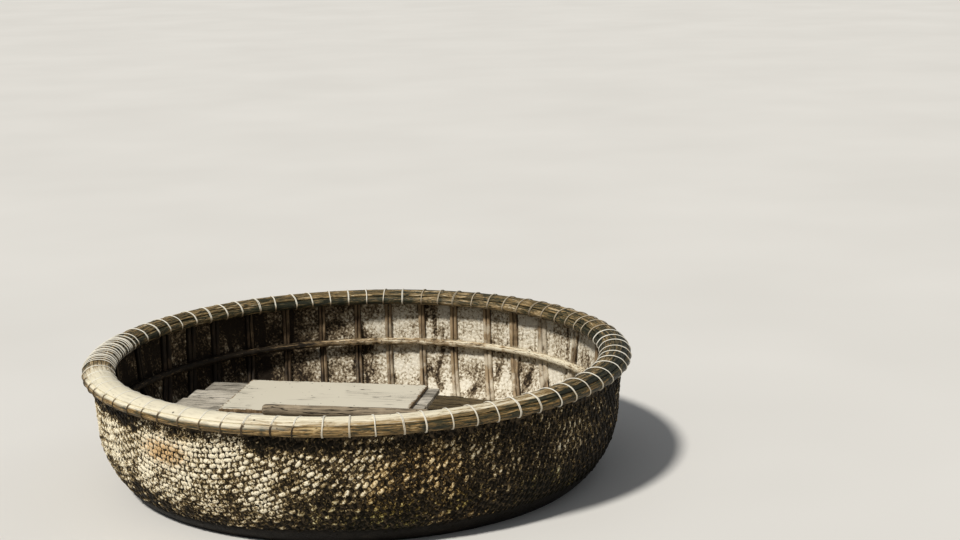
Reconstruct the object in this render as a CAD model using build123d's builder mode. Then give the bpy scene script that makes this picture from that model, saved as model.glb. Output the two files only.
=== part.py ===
"""Round woven bamboo boat (a coracle), in millimetres.

Origin: centre of the waterline circle. +Z is up, +X is to the right of the main view and +Y away
from it. The boat is a woven bowl, a rim bundle of split bamboo lashed round its edge, two layers
of bent ribs, a hoop that presses the ribs to the wall, a plank floor and a small raised deck.
"""
import math
import os

from build123d import *

os.makedirs("parts", exist_ok=True)

# Gap between bent or round pieces that lie against each other
clear = 0.3

# Woven bowl: a slightly round bottom, a bilge arc and a straight leaning side, on its outer face
keel_depth = 107.0
bottom_reach = 684.0
bottom_slope = 8.0
bilge_bend = 310.0
side_lean = 4.25
hull_wall = 12.0

# Rim bundle: laths on a rounded crown, over two inner hoops and one outer hoop
rim_inset = 24.5
rim_half_width = 57.0
rim_top = 460.0
crown_bend = 77.0
lath_thick = 6.0
lath_width = 13.0
lath_count = 6
lath_step = 11.6
rim_hoop_radius = 17.0
hoop_sides = 12

# Cord wraps round the rim bundle
cord_thick = 2.8
cord_width = 6.5
cord_count = 74

# Ribs: half-split bamboo, one layer along Y and one above it along X, at parts of the rim's radius
rib_thick = 14.0
rib_width = 30.0
rib_top = 438.0
upper_bilge_bend = 340.0
lower_rib_parts = [-0.812, -0.716, -0.62, -0.477, -0.318, -0.159, 0, 0.138, 0.286, 0.425, 0.568, 0.678, 0.79]
upper_rib_parts = [-0.445, -0.275, -0.106, 0.063, 0.233, 0.425]

# Hoop that presses the ribs against the wall
wall_hoop_height = 247.0
wall_hoop_radius = 12.5

# Floor: bearers that lie on lower ribs, and planks across them
floor_top = 60.0
floor_gap = 2.0
floor_turn = -28.0
plank_thick = 18.0
plank_width = 100.0
plank_gap = 11.0
bearer_ribs = [4, 6, 9]
bearer_width = 50.0
bearer_depth = 45.0

# Raised deck at the left: bearers on edge, planks, a painted board and a pole before its front edge
deck_top = 182.0
deck_turn = -15.0
deck_front = 7.0
deck_plank_width = 110.0
deck_plank_gap = 9.0
deck_plank_count = 4
deck_end_gaps = [84.0, 72.0, 44.0, 14.0]
deck_end_space = 50.0
deck_foot_gap = 27.0
deck_bearer_width = 35.0
deck_bearer_inset = 90.0
deck_board_front = 55.0
deck_board_thick = 14.0
deck_board_inset = 42.4
deck_board_length = 725.0
pole_radius = 22.0
pole_length = 640.0
pole_start = 185.0

# Centres of the bowl's arcs, and the directions across and up its side
bottom_bend = bottom_reach / math.sin(math.radians(bottom_slope))
bottom_centre = Vector(0, bottom_bend - keel_depth)
bilge_centre = bottom_centre + Vector(
    (bottom_bend - bilge_bend) * math.sin(math.radians(bottom_slope)),
    -(bottom_bend - bilge_bend) * math.cos(math.radians(bottom_slope)),
)
side_out = Vector(math.cos(math.radians(side_lean)), -math.sin(math.radians(side_lean)))
side_up = Vector(math.sin(math.radians(side_lean)), math.cos(math.radians(side_lean)))


def layer(bottom_depth, side_depth, bend):
    """Bottom radius, bilge centre, bilge radius and side distance of a layer of the bowl.

    Its bottom arc lies bottom_depth inside the bowl's outer face and its side side_depth inside
    it, at side distance from the bowl's bilge centre. An arc of radius bend joins the two.
    """
    bottom_radius = bottom_bend - bottom_depth
    side_distance = bilge_bend - side_depth
    foot = bilge_centre + side_out * (side_distance - bend)
    along = (foot - bottom_centre).dot(side_up)
    across = (foot - bottom_centre).dot(side_out)
    travel = -along - math.sqrt((bottom_radius - bend) ** 2 - across**2)
    return bottom_radius, foot + side_up * travel, bend, side_distance


def reach_at(shape, height):
    """Radius of a layer at a height on its bilge or on its side."""
    bottom_radius, centre, bend, side_distance = shape
    if height < centre.Y - bend * math.sin(math.radians(side_lean)):
        return centre.X + math.sqrt(bend**2 - (centre.Y - height) ** 2)
    rise = (height - bilge_centre.Y) * math.sin(math.radians(side_lean))
    return bilge_centre.X + (side_distance + rise) / math.cos(math.radians(side_lean))


def arc_between(centre, radius, start, end):
    """Arc about centre from the direction of start to the direction of end."""
    first = (start - centre).normalized()
    last = (end - centre).normalized()
    middle = (first + last).normalized()
    ThreePointArc(centre + first * radius, centre + middle * radius, centre + last * radius)


def layer_line(shape, top):
    """Draw a layer's section from the axis up to the height top; return its two ends."""
    bottom_radius, centre, bend, side_distance = shape
    start = Vector(0, bottom_centre.Y - bottom_radius)
    bottom_end = bottom_centre + (centre - bottom_centre).normalized() * bottom_radius
    side_start = centre + side_out * bend
    end = Vector(reach_at(shape, top), top)
    arc_between(bottom_centre, bottom_radius, start, bottom_end)
    if top > side_start.Y:
        arc_between(centre, bend, bottom_end, side_start)
        Line(side_start, end)
    else:
        arc_between(centre, bend, bottom_end, end)
    return start, end


def layer_section(outer, inner, top):
    """Draw the closed section between two layers, on the current line builder."""
    outer_start, outer_end = layer_line(outer, top)
    inner_start, inner_end = layer_line(inner, top)
    Line(outer_start, inner_start)
    Line(outer_end, inner_end)


def save(piece, name):
    piece.part.label = name
    export_step(piece.part, f"parts/{name}.step")


# Layers inside the bowl's outer face
lower_depth = hull_wall + clear
lower_face_depth = lower_depth + rib_thick
upper_depth = lower_face_depth + clear
outer_skin = layer(0, 0, bilge_bend)
inner_skin = layer(hull_wall, hull_wall, bilge_bend - hull_wall)
lower_back = layer(lower_depth, lower_depth, bilge_bend - lower_depth)
lower_face = layer(lower_face_depth, lower_face_depth, bilge_bend - lower_face_depth)
upper_back = layer(upper_depth, lower_depth, upper_bilge_bend)
upper_face = layer(upper_depth + rib_thick, lower_face_depth, upper_bilge_bend - rib_thick)

# Heights and radii in the rim bundle
rim_middle = reach_at(outer_skin, rim_top) - rim_inset
crown_centre = rim_top - crown_bend
bed_radius = crown_bend - lath_thick - clear
hull_top = crown_centre + math.sqrt(bed_radius**2 - rim_inset**2)
edge_angle = math.radians(lath_step * (lath_count - 1) / 2)
lath_under = crown_bend - lath_thick
lath_corner_reach = math.hypot(crown_bend, lath_width / 2)
corner_out = lath_under * math.sin(edge_angle) + lath_width / 2 * math.cos(edge_angle)
corner_up = lath_under * math.cos(edge_angle) - lath_width / 2 * math.sin(edge_angle)
hoop_out = rim_half_width - rim_hoop_radius
hoop_height = crown_centre + corner_up - math.sqrt(
    (rim_hoop_radius + clear) ** 2 - (corner_out - hoop_out) ** 2
)
outer_hoop_back = reach_at(outer_skin, hoop_height + rim_hoop_radius) + clear
clamp_bottom = hoop_height - rim_hoop_radius
clamp_back = reach_at(lower_face, clamp_bottom) - clear
clamp_face = rim_middle - rim_half_width + 2 * rim_hoop_radius + clear

# Woven bowl
with BuildPart() as hull_shell:
    with BuildSketch(Plane.XZ):
        with BuildLine():
            layer_section(outer_skin, inner_skin, hull_top)
        make_face()
    revolve(axis=Axis.Z)
save(hull_shell, "hull_shell")

# Outer rim hoop, round outside and flat against the bowl
with BuildPart() as rim_outer_hoop:
    with BuildSketch(Plane.XZ):
        with Locations((rim_middle + hoop_out, hoop_height)):
            RegularPolygon(rim_hoop_radius, hoop_sides, rotation=180 / hoop_sides)
        with Locations((outer_hoop_back, hoop_height)):
            Rectangle(
                2 * rim_hoop_radius,
                4 * rim_hoop_radius,
                align=(Align.MAX, Align.CENTER),
                mode=Mode.SUBTRACT,
            )
    revolve(axis=Axis.Z)
save(rim_outer_hoop, "rim_outer_hoop")

# Clamp hoop: presses the rib heads to the bowl, its top rounded to the bed of the laths
with BuildPart() as rim_clamp_hoop:
    with BuildSketch(Plane.XZ):
        with Locations((clamp_face, clamp_bottom)):
            Rectangle(clamp_back - clamp_face, 2 * crown_bend, align=(Align.MIN, Align.MIN))
        with Locations((rim_middle, crown_centre)):
            Circle(bed_radius, mode=Mode.INTERSECT)
    revolve(axis=Axis.Z)
save(rim_clamp_hoop, "rim_clamp_hoop")

# Inner rim hoop, a whole round bamboo
with BuildPart() as rim_inner_hoop:
    with BuildSketch(Plane.XZ):
        with Locations((rim_middle - hoop_out, hoop_height)):
            RegularPolygon(rim_hoop_radius, hoop_sides, rotation=180 / hoop_sides)
    revolve(axis=Axis.Z)
save(rim_inner_hoop, "rim_inner_hoop")

# Split laths side by side over the crown
for number in range(lath_count):
    tilt = lath_step * (number - (lath_count - 1) / 2)
    middle = crown_bend - lath_thick / 2
    out = rim_middle + middle * math.sin(math.radians(tilt))
    up = crown_centre + middle * math.cos(math.radians(tilt))
    with BuildPart() as rim_lath:
        with BuildSketch(Plane.XZ):
            with Locations(Location((out, up, 0), (0, 0, -tilt))):
                Rectangle(lath_width, lath_thick)
        revolve(axis=Axis.Z)
    save(rim_lath, f"rim_lath_{number + 1}")


def wrap_side(side, gap, wall):
    """Corners of a cord's path from under one hoop up to the edge of the laths.

    side is 1 outside the bowl and -1 inside; gap is the distance from what the cord goes round.
    """
    hoop = Vector(rim_middle + side * hoop_out, hoop_height)
    reach = (rim_hoop_radius + gap) / math.cos(math.radians(22.5))
    corners = [Vector(wall, hoop_height - rim_hoop_radius - gap)]
    for angle in (-67.5, -22.5, 22.5):
        turn = math.radians(angle)
        corners.append(hoop + Vector(side * reach * math.cos(turn), reach * math.sin(turn)))
    over = (lath_corner_reach + gap) / math.cos(math.radians(lath_step))
    for steps in (lath_count / 2, lath_count / 3):
        turn = math.radians(lath_step * steps)
        corners.append(
            Vector(rim_middle + side * over * math.sin(turn), crown_centre + over * math.cos(turn))
        )
    return corners


def wrap_path(gap):
    """Corners of a cord's whole path, from the bowl's outer face over the crown to the rib faces."""
    over = (lath_corner_reach + gap) / math.cos(math.radians(lath_step))
    top = Vector(rim_middle, crown_centre + over)
    return wrap_side(1, gap, wall_outside) + [top] + wrap_side(-1, gap, wall_inside)[::-1]


# Cord wraps: open loops whose ends go in to the bowl below the hoops
wrap_bottom = hoop_height - rim_hoop_radius - clear - cord_thick
wall_outside = reach_at(outer_skin, hoop_height) + clear
wall_inside = reach_at(lower_face, wrap_bottom) - 2 * clear
with BuildPart() as rim_lashings:
    with BuildSketch(Plane.XZ) as wrap_sketch:
        with BuildLine():
            Polyline(*wrap_path(clear), *wrap_path(clear + cord_thick)[::-1], close=True)
        make_face()
    wrap = extrude(amount=cord_width / 2, both=True, mode=Mode.PRIVATE)
    with PolarLocations(0, cord_count):
        add(wrap)
save(rim_lashings, "rim_lashings")

# Lower ribs, in planes of constant X, against the bowl
for number, part_of_rim in enumerate(lower_rib_parts):
    with BuildPart() as lower_rib:
        with BuildSketch(Plane.XZ):
            with BuildLine():
                layer_section(lower_back, lower_face, rib_top)
            make_face()
        revolve(axis=Axis.Z)
        with Locations((part_of_rim * rim_middle, 0, 0)):
            Box(rib_width, 3 * rim_middle, 3 * rib_top, mode=Mode.INTERSECT)
    save(lower_rib, f"lower_rib_{number + 1:02d}")

# Upper ribs, in planes of constant Y, over the lower ones and against the bowl at their heads
for number, part_of_rim in enumerate(upper_rib_parts):
    with BuildPart() as upper_rib:
        with BuildSketch(Plane.XZ):
            with BuildLine():
                layer_section(upper_back, upper_face, rib_top)
            make_face()
        revolve(axis=Axis.Z)
        with Locations((0, part_of_rim * rim_middle, 0)):
            Box(3 * rim_middle, rib_width, 3 * rib_top, mode=Mode.INTERSECT)
    save(upper_rib, f"upper_rib_{number + 1:02d}")

# Hoop round the wall, inside the ribs
wall_hoop_depth = wall_hoop_radius + clear
wall_hoop_line = layer(
    upper_depth + rib_thick + wall_hoop_depth,
    lower_face_depth + wall_hoop_depth,
    upper_bilge_bend - rib_thick - wall_hoop_depth,
)
with BuildPart() as wall_hoop:
    with BuildSketch(Plane.XZ):
        with Locations((reach_at(wall_hoop_line, wall_hoop_height), wall_hoop_height)):
            RegularPolygon(wall_hoop_radius, hoop_sides)
    revolve(axis=Axis.Z)
save(wall_hoop, "wall_hoop")

# Floor bearers, each along a lower rib, their ends cut to the rib's face
bearer_top = floor_top - plank_thick
bearer_space = layer(
    lower_face_depth + clear, lower_face_depth + clear, bilge_bend - lower_face_depth - clear
)
for number, rib in enumerate(bearer_ribs):
    with BuildPart() as floor_bearer:
        with BuildSketch(Plane.XZ):
            with BuildLine():
                start, end = layer_line(bearer_space, bearer_top)
                Polyline(end, (0, bearer_top), start)
            make_face()
        revolve(axis=Axis.Z)
        with Locations((lower_rib_parts[rib] * rim_middle, 0, bearer_top)):
            Box(
                bearer_width,
                3 * rim_middle,
                bearer_depth,
                align=(Align.CENTER, Align.CENTER, Align.MAX),
                mode=Mode.INTERSECT,
            )
    save(floor_bearer, f"floor_bearer_{number + 1}")

# Floor planks, as many as the floor is wide, cut square where they reach the ribs
floor_reach = reach_at(upper_face, bearer_top) - floor_gap
plank_pitch = plank_width + plank_gap
plank_count = int((1.94 * floor_reach + plank_gap) / plank_pitch)
floor_plane = Plane.XY.offset(bearer_top).rotated((0, 0, floor_turn))
for number in range(plank_count):
    middle = (number - (plank_count - 1) / 2) * plank_pitch
    half_length = math.sqrt(floor_reach**2 - (abs(middle) + plank_width / 2) ** 2)
    with BuildPart() as floor_plank:
        with BuildSketch(floor_plane):
            with Locations((0, middle)):
                Rectangle(2 * half_length, plank_width)
        extrude(amount=plank_thick)
    save(floor_plank, f"floor_plank_{number + 1:02d}")

# Heights and ends of the deck, from the ribs at its left
deck_plank_top = deck_top - deck_board_thick
deck_plank_under = deck_plank_top - plank_thick
deck_plank_pitch = deck_plank_width + deck_plank_gap
deck_width = deck_plank_count * deck_plank_pitch - deck_plank_gap
deck_back = deck_front + deck_width
deck_wall = reach_at(upper_face, deck_plank_under)
deck_left = deck_foot_gap - math.sqrt(floor_reach**2 - deck_back**2)
deck_board_left = deck_left + deck_board_inset
deck_board_right = deck_board_left + deck_board_length
deck_plank_right = deck_board_right + deck_end_space
deck_bearer_places = [deck_left + deck_bearer_width / 2, deck_board_right - deck_bearer_inset]

# Deck bearers, planks on edge that stand on the floor
deck_floor_plane = Plane.XY.offset(floor_top).rotated((0, 0, deck_turn))
for name, place in zip(("left", "right"), deck_bearer_places):
    with BuildPart() as deck_bearer:
        with BuildSketch(deck_floor_plane):
            with Locations((place, deck_front)):
                Rectangle(deck_bearer_width, deck_width, align=(Align.CENTER, Align.MIN))
        extrude(amount=deck_plank_under - floor_top)
    save(deck_bearer, f"deck_bearer_{name}")

# Deck planks, their left ends unevenly short of the ribs
deck_plank_plane = Plane.XY.offset(deck_plank_under).rotated((0, 0, deck_turn))
for number, end_gap in enumerate(deck_end_gaps):
    front = deck_front + number * deck_plank_pitch
    left = -math.sqrt((deck_wall - end_gap) ** 2 - (front + deck_plank_width) ** 2)
    with BuildPart() as deck_plank:
        with BuildSketch(deck_plank_plane):
            with Locations((left, front)):
                Rectangle(deck_plank_right - left, deck_plank_width, align=(Align.MIN, Align.MIN))
        extrude(amount=plank_thick)
    save(deck_plank, f"deck_plank_{number + 1}")

# Painted board on the deck planks
deck_board_plane = Plane.XY.offset(deck_plank_top).rotated((0, 0, deck_turn))
with BuildPart() as deck_board:
    with BuildSketch(deck_board_plane):
        with Locations((deck_board_left, deck_board_front)):
            Rectangle(deck_board_length, deck_back - deck_board_front, align=(Align.MIN, Align.MIN))
    extrude(amount=deck_board_thick)
save(deck_board, "deck_board")

# Round pole on the front plank, along the board's edge, its ends rounded
pole_place = Vector(
    deck_board_left + pole_start,
    deck_board_front - clear - pole_radius,
    deck_plank_top + clear + pole_radius,
)
pole_plane = Plane(
    origin=pole_place.rotate(Axis.Z, deck_turn), z_dir=Vector(1, 0, 0).rotate(Axis.Z, deck_turn)
)
with BuildPart() as deck_pole:
    with BuildSketch(pole_plane):
        Circle(pole_radius)
    extrude(amount=pole_length)
    fillet(deck_pole.edges().filter_by(GeomType.CIRCLE), radius=pole_radius / 3)
save(deck_pole, "deck_pole")
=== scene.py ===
"""Round woven bamboo boat (a coracle): the dressed model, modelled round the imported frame.

The bowl is covered with woven strips, its rim is a bundle of split bamboo lashed with cord, and
inside lie bent ribs, a plank floor and a small raised deck. Everything is in metres.
"""
import math
from collections import namedtuple

import bmesh
import bpy
import numpy as np
from bpy.props import FloatProperty
from bpy.props import FloatVectorProperty
from bpy.props import IntProperty
from bpy.props import PointerProperty
from mathutils import Matrix
from mathutils import Vector


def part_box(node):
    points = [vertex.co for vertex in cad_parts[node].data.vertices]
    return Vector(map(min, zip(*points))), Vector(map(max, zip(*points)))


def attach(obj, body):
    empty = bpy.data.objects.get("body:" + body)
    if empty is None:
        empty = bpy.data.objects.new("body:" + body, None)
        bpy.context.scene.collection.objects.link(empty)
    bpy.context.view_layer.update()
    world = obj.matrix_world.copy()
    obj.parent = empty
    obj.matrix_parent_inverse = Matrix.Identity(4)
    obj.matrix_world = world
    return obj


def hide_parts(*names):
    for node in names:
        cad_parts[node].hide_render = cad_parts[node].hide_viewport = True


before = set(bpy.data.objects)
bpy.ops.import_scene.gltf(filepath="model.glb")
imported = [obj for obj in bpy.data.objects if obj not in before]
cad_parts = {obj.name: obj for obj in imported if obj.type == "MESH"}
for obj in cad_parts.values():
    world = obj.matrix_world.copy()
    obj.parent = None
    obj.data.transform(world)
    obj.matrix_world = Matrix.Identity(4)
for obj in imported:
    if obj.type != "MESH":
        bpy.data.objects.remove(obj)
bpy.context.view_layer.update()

bl_info = {
    "name": "Woven coracle",
    "version": (1, 0, 0),
    "blender": (4, 5, 0),
    "location": "View3D > Sidebar > Coracle",
    "description": "Models a round woven bamboo boat with a lashed rim, ribs, a floor and a deck",
    "category": "Add Mesh",
}

FULL_TURN = 2.0 * math.pi

# The bowl's outer face: a bottom arc, a bilge arc and a straight leaning side
KEEL_DEPTH = 0.107
BOTTOM_SLOPE = math.radians(8.0)
BOTTOM_BEND = 0.684 / math.sin(BOTTOM_SLOPE)
BOTTOM_HEIGHT = BOTTOM_BEND - KEEL_DEPTH
BILGE_BEND = 0.310
BILGE_OUT = (BOTTOM_BEND - BILGE_BEND) * math.sin(BOTTOM_SLOPE)
BILGE_UP = BOTTOM_HEIGHT - (BOTTOM_BEND - BILGE_BEND) * math.cos(BOTTOM_SLOPE)
SIDE_LEAN = math.radians(4.25)
HULL_WALL = 0.012
GAP = 0.0003
WATERLINE_RADIUS = 0.8285

# The woven strips: crosswise cuts of a strip piece, and the heights between which they lie
FINE_CUTS = ((-1.0, -0.74, -0.38, 0.0, 0.38, 0.74, 1.0), (-1.0, -0.76, 0.0, 0.76, 1.0))
PLAIN_CUTS = ((-1.0, -0.62, 0.0, 0.62, 1.0), (-1.0, -0.55, 0.55, 1.0))
STRIP_SINK = 0.0012
STRIP_TOP = 0.4065
UNDER_TAR = 0.016
INNER_STRIP_LOW = 0.030
INNER_STRIP_TOP = 0.398

# The rim bundle
RIM_TOP = 0.460
RIM_MIDDLE = 0.94298
CROWN_BEND = 0.077
CROWN_UP = RIM_TOP - CROWN_BEND
LATH_COUNT = 6
LATH_STEP = math.radians(11.6)
LATH_THICK = 0.0060
HOOP_RADIUS = 0.017
HOOP_OUT = 0.040
HOOP_UP = 0.42465

# Cord: where a turn ends below the bundle, and the wraps side by side at the rim's left
CORD_END_OUTSIDE = 0.9660
CORD_END_INSIDE = 0.9360
TIGHT_WRAPS = 14
TIGHT_START = math.radians(163.0)
TIGHT_STEP = 0.029

# Ribs, at parts of the rim's radius
RIB_THICK = 0.014
RIB_HEAD = 0.438
RIB_STEPS = 110
RIB_SECTION = (
    (-1.0, 0.0), (-0.96, 0.42), (-0.72, 0.80), (-0.34, 0.98), (0.0, 1.0), (0.34, 0.98), (0.72, 0.80),
    (0.96, 0.42), (1.0, 0.0),
)
LOWER_RIBS = (-0.812, -0.716, -0.62, -0.477, -0.318, -0.159, 0, 0.138, 0.286, 0.425, 0.568, 0.678, 0.79)
UPPER_RIBS = (-0.445, -0.275, -0.106, 0.063, 0.233, 0.425)

# The floor
FLOOR_TURN = math.radians(-28.0)
FLOOR_TOP = 0.060
FLOOR_RADIUS = 0.800
PLANK_COUNT = 14
PLANK_THICK = 0.018
PLANK_WIDTH = 0.100
PLANK_STEP = 0.111
PLANK_WARP = 0.0008

# The raised deck, in its own turned frame
DECK_TURN = math.radians(-15.0)
DECK_FRONT = 0.007
DECK_RIGHT = 0.200
DECK_LEFT_ENDS = (-0.8000, -0.7857, -0.7707, -0.7390)
DECK_PLANK_WIDTH = 0.110
DECK_PLANK_STEP = 0.119
DECK_UNDERSIDE = 0.150
BEARER_PLACES = (-0.5999, 0.060)
BEARER_SIZE = (0.035, 0.467, 0.090)
BOARD_CORNER = (-0.5750, 0.055, 0.168)
BOARD_SIZE = (0.725, 0.419, 0.014)
POLE_RADIUS = 0.0215
POLE_START = Vector((-0.390, 0.0327, 0.1903))

# Colours that several materials use
SOOT = (0.018, 0.012, 0.007)
MUD = (0.080, 0.055, 0.030)
CLAY = (0.27, 0.21, 0.135)

# The view: a camera at the front, and a high sun from behind the left shoulder
CAMERA_PLACE = (0.0, -6.457, 2.070)
CAMERA_YAW = math.radians(-4.025)
CAMERA_PITCH = math.radians(90.0 - 11.736)
CAMERA_ROLL = math.radians(-1.244)
CAMERA_LENS = 67.5
SUN_HEIGHT = math.radians(52.0)
SUN_WAY = math.radians(226.0)
FLOOR_REACH = 90.0


class BowlSettings(bpy.types.PropertyGroup):
    """Sizes and colours of the woven bowl."""

    weave_long: FloatProperty(
        name="Pitch along the long strips", default=0.026, min=0.01, max=0.08, unit="LENGTH",
        description="Distance between two crossings along a long strip, on the flat mat",
    )
    weave_cross: FloatProperty(
        name="Pitch across the long strips", default=0.018, min=0.01, max=0.08, unit="LENGTH",
        description="Distance between two long strips, on the flat mat",
    )
    weave_turn: FloatProperty(
        name="Turn of the mat", default=math.radians(-37.0), unit="ROTATION",
        description="Direction of the long strips across the bottom",
    )
    weave_relief: FloatProperty(
        name="Relief", default=0.0056, min=0.0005, max=0.008, unit="LENGTH",
        description="Height of a long strip's crown over its ends",
    )
    tar_height: FloatProperty(
        name="Height of the tar", default=0.052, min=0.0, max=0.2, unit="LENGTH",
        description="Mean height of the tar's upper edge over the water",
    )
    strip_pale: FloatVectorProperty(
        name="Bleached strip", subtype="COLOR", default=(0.90, 0.825, 0.64), min=0.0, max=1.0,
        description="Colour of strips that the sun has bleached",
    )
    # Also the colour of the painted shade at the strips' edges and in their gaps
    strip_dark_and_shade: FloatVectorProperty(
        name="Dark strip", subtype="COLOR", default=(0.022, 0.016, 0.007), min=0.0, max=1.0,
        description="Colour of stained strips and of the gaps between strips",
    )


class RimSettings(bpy.types.PropertyGroup):
    """Sizes and colours of the rim."""

    lath_width: FloatProperty(
        name="Lath width", default=0.0143, min=0.005, max=0.015, unit="LENGTH",
        description="Width of a split lath on the rim's top",
    )
    cord_size: FloatProperty(
        name="Cord diameter", default=0.0029, min=0.001, max=0.004, unit="LENGTH",
        description="Diameter of the lashing cord",
    )
    cord_count: IntProperty(
        name="Lashings", default=74, min=3, max=200,
        description="How many lashings go round the rim",
    )
    lath_pale: FloatVectorProperty(
        name="Bleached lath", subtype="COLOR", default=(0.84, 0.775, 0.60), min=0.0, max=1.0,
        description="Colour of laths that the sun has bleached",
    )
    lath_dark: FloatVectorProperty(
        name="Stained lath", subtype="COLOR", default=(0.040, 0.042, 0.022), min=0.0, max=1.0,
        description="Colour of laths that damp has stained",
    )
    cord_color: FloatVectorProperty(
        name="Cord", subtype="COLOR", default=(0.84, 0.81, 0.71), min=0.0, max=1.0,
        description="Colour of clean cord",
    )


class InsideSettings(bpy.types.PropertyGroup):
    """Sizes and colours of the ribs, the floor and the deck."""

    rib_width: FloatProperty(
        name="Rib width", default=0.0300, min=0.01, max=0.06, unit="LENGTH",
        description="Width of a rib, which is a pair of split bamboos",
    )
    board_edge: FloatProperty(
        name="Worn edge", default=0.0022, min=0.0005, max=0.006, unit="LENGTH",
        description="Rounding of the edges of planks and boards",
    )
    rib_color: FloatVectorProperty(
        name="Rib", subtype="COLOR", default=(0.40, 0.29, 0.17), min=0.0, max=1.0,
        description="Colour of a dry rib",
    )
    floor_color: FloatVectorProperty(
        name="Floor", subtype="COLOR", default=(0.155, 0.115, 0.060), min=0.0, max=1.0,
        description="Colour of the weathered floor",
    )
    paint_color: FloatVectorProperty(
        name="Paint", subtype="COLOR", default=(0.68, 0.635, 0.52), min=0.0, max=1.0,
        description="Colour of the painted board",
    )


# Layers of the bowl

Layer = namedtuple("Layer", "bottom_radius centre_out centre_up bend side_distance")


def layer(bottom_depth, side_depth, bend):
    """The layer that lies these depths inside the bowl's outer face, with a bilge arc of radius bend."""
    bottom_radius = BOTTOM_BEND - bottom_depth
    side_distance = BILGE_BEND - side_depth
    foot_out = BILGE_OUT + math.cos(SIDE_LEAN) * (side_distance - bend)
    foot_up = BILGE_UP - math.sin(SIDE_LEAN) * (side_distance - bend)
    rise = foot_up - BOTTOM_HEIGHT
    along = foot_out * math.sin(SIDE_LEAN) + rise * math.cos(SIDE_LEAN)
    across = foot_out * math.cos(SIDE_LEAN) - rise * math.sin(SIDE_LEAN)
    travel = -along - math.sqrt((bottom_radius - bend) ** 2 - across**2)
    centre_out = foot_out + math.sin(SIDE_LEAN) * travel
    centre_up = foot_up + math.cos(SIDE_LEAN) * travel
    return Layer(bottom_radius, centre_out, centre_up, bend, side_distance)


OUTER_SKIN = layer(0.0, 0.0, BILGE_BEND)
LOWER_DEPTH = HULL_WALL + GAP
LOWER_BACK = layer(LOWER_DEPTH, LOWER_DEPTH, BILGE_BEND - LOWER_DEPTH)
UPPER_DEPTH = LOWER_DEPTH + RIB_THICK + GAP
UPPER_BACK = layer(UPPER_DEPTH, LOWER_DEPTH, 0.340)


def slope_at(shape, out, up):
    """Angle of a layer's outward normal from straight down, at places on it."""
    bottom = np.arctan2(out, BOTTOM_HEIGHT - up)
    corner = math.atan2(shape.centre_out, BOTTOM_HEIGHT - shape.centre_up)
    bilge = np.arctan2(out - shape.centre_out, shape.centre_up - up)
    return np.where(bottom < corner, bottom, np.clip(bilge, corner, math.pi / 2 - SIDE_LEAN))


def reach_at(shape, up):
    """Radius of a layer at heights on its bottom, bilge or side."""
    corner = math.atan2(shape.centre_out, BOTTOM_HEIGHT - shape.centre_up)
    corner_up = BOTTOM_HEIGHT - shape.bottom_radius * math.cos(corner)
    side_up = shape.centre_up - shape.bend * math.sin(SIDE_LEAN)
    bottom = np.sqrt(np.maximum(shape.bottom_radius**2 - (BOTTOM_HEIGHT - up) ** 2, 0.0))
    bilge = shape.centre_out + np.sqrt(np.maximum(shape.bend**2 - (shape.centre_up - up) ** 2, 0.0))
    side = shape.side_distance + (up - BILGE_UP) * math.sin(SIDE_LEAN)
    side = BILGE_OUT + side / math.cos(SIDE_LEAN)
    return np.where(up < corner_up, bottom, np.where(up < side_up, bilge, side))


def along_skin(run):
    """Radius, height and normal angle on the bowl's outer face, run metres from its middle."""
    run = np.asarray(run, dtype=float)
    bottom_run = BOTTOM_BEND * BOTTOM_SLOPE
    bilge_run = BILGE_BEND * (math.pi / 2 - SIDE_LEAN - BOTTOM_SLOPE)
    bilge_turn = BOTTOM_SLOPE + np.clip(run - bottom_run, 0.0, bilge_run) / BILGE_BEND
    low = run < bottom_run
    turn = np.where(low, run / BOTTOM_BEND, bilge_turn)
    out = np.where(low, BOTTOM_BEND * np.sin(turn), BILGE_OUT + BILGE_BEND * np.sin(turn))
    up = np.where(low, BOTTOM_HEIGHT - BOTTOM_BEND * np.cos(turn), BILGE_UP - BILGE_BEND * np.cos(turn))
    past = np.maximum(run - bottom_run - bilge_run, 0.0)
    return out + past * math.sin(SIDE_LEAN), up + past * math.cos(SIDE_LEAN), turn


def run_to(height):
    """How far from the bowl's middle its outer face reaches a height, above the bottom arc."""
    runs = np.linspace(0.0, 1.5, 3001)
    return float(np.interp(height, along_skin(runs)[1], runs))


# Making pieces


def link_piece(name, mesh, material, nodes=()):
    """Put a mesh into the scene as a piece of the boat."""
    piece = bpy.data.objects.new(name, mesh)
    bpy.context.scene.collection.objects.link(piece)
    mesh.materials.clear()
    mesh.materials.append(material)
    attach(piece, "root")
    if nodes:
        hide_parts(*nodes)
    return piece


def dress_node(name, material):
    """Give a CAD piece that stays in sight a better material."""
    for part_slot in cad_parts[name].material_slots:
        part_slot.material = material


def numbered(stem, count, digits=1):
    """Names of a row of CAD pieces."""
    return [f"{stem}_{number + 1:0{digits}d}" for number in range(count)]


def finish_mesh(bm, name, smooth=True):
    """Turn a bmesh into a mesh with smooth or flat faces."""
    mesh = bpy.data.meshes.new(name)
    for face in bm.faces:
        face.smooth = smooth
    bm.to_mesh(mesh)
    bm.free()
    return mesh


def set_smooth(mesh):
    mesh.polygons.foreach_set("use_smooth", [True] * len(mesh.polygons))


def read_points(mesh):
    points = np.empty(len(mesh.vertices) * 3)
    mesh.vertices.foreach_get("co", points)
    return points.reshape(-1, 3)


def write_points(mesh, points):
    mesh.vertices.foreach_set("co", np.ascontiguousarray(points).ravel())
    mesh.update()


def write_values(mesh, name, values):
    """Store one number for each vertex, which materials read by name."""
    stored = mesh.attributes.new(name, "FLOAT", "POINT")
    stored.data.foreach_set("value", np.ascontiguousarray(values, dtype=np.float32))


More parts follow.
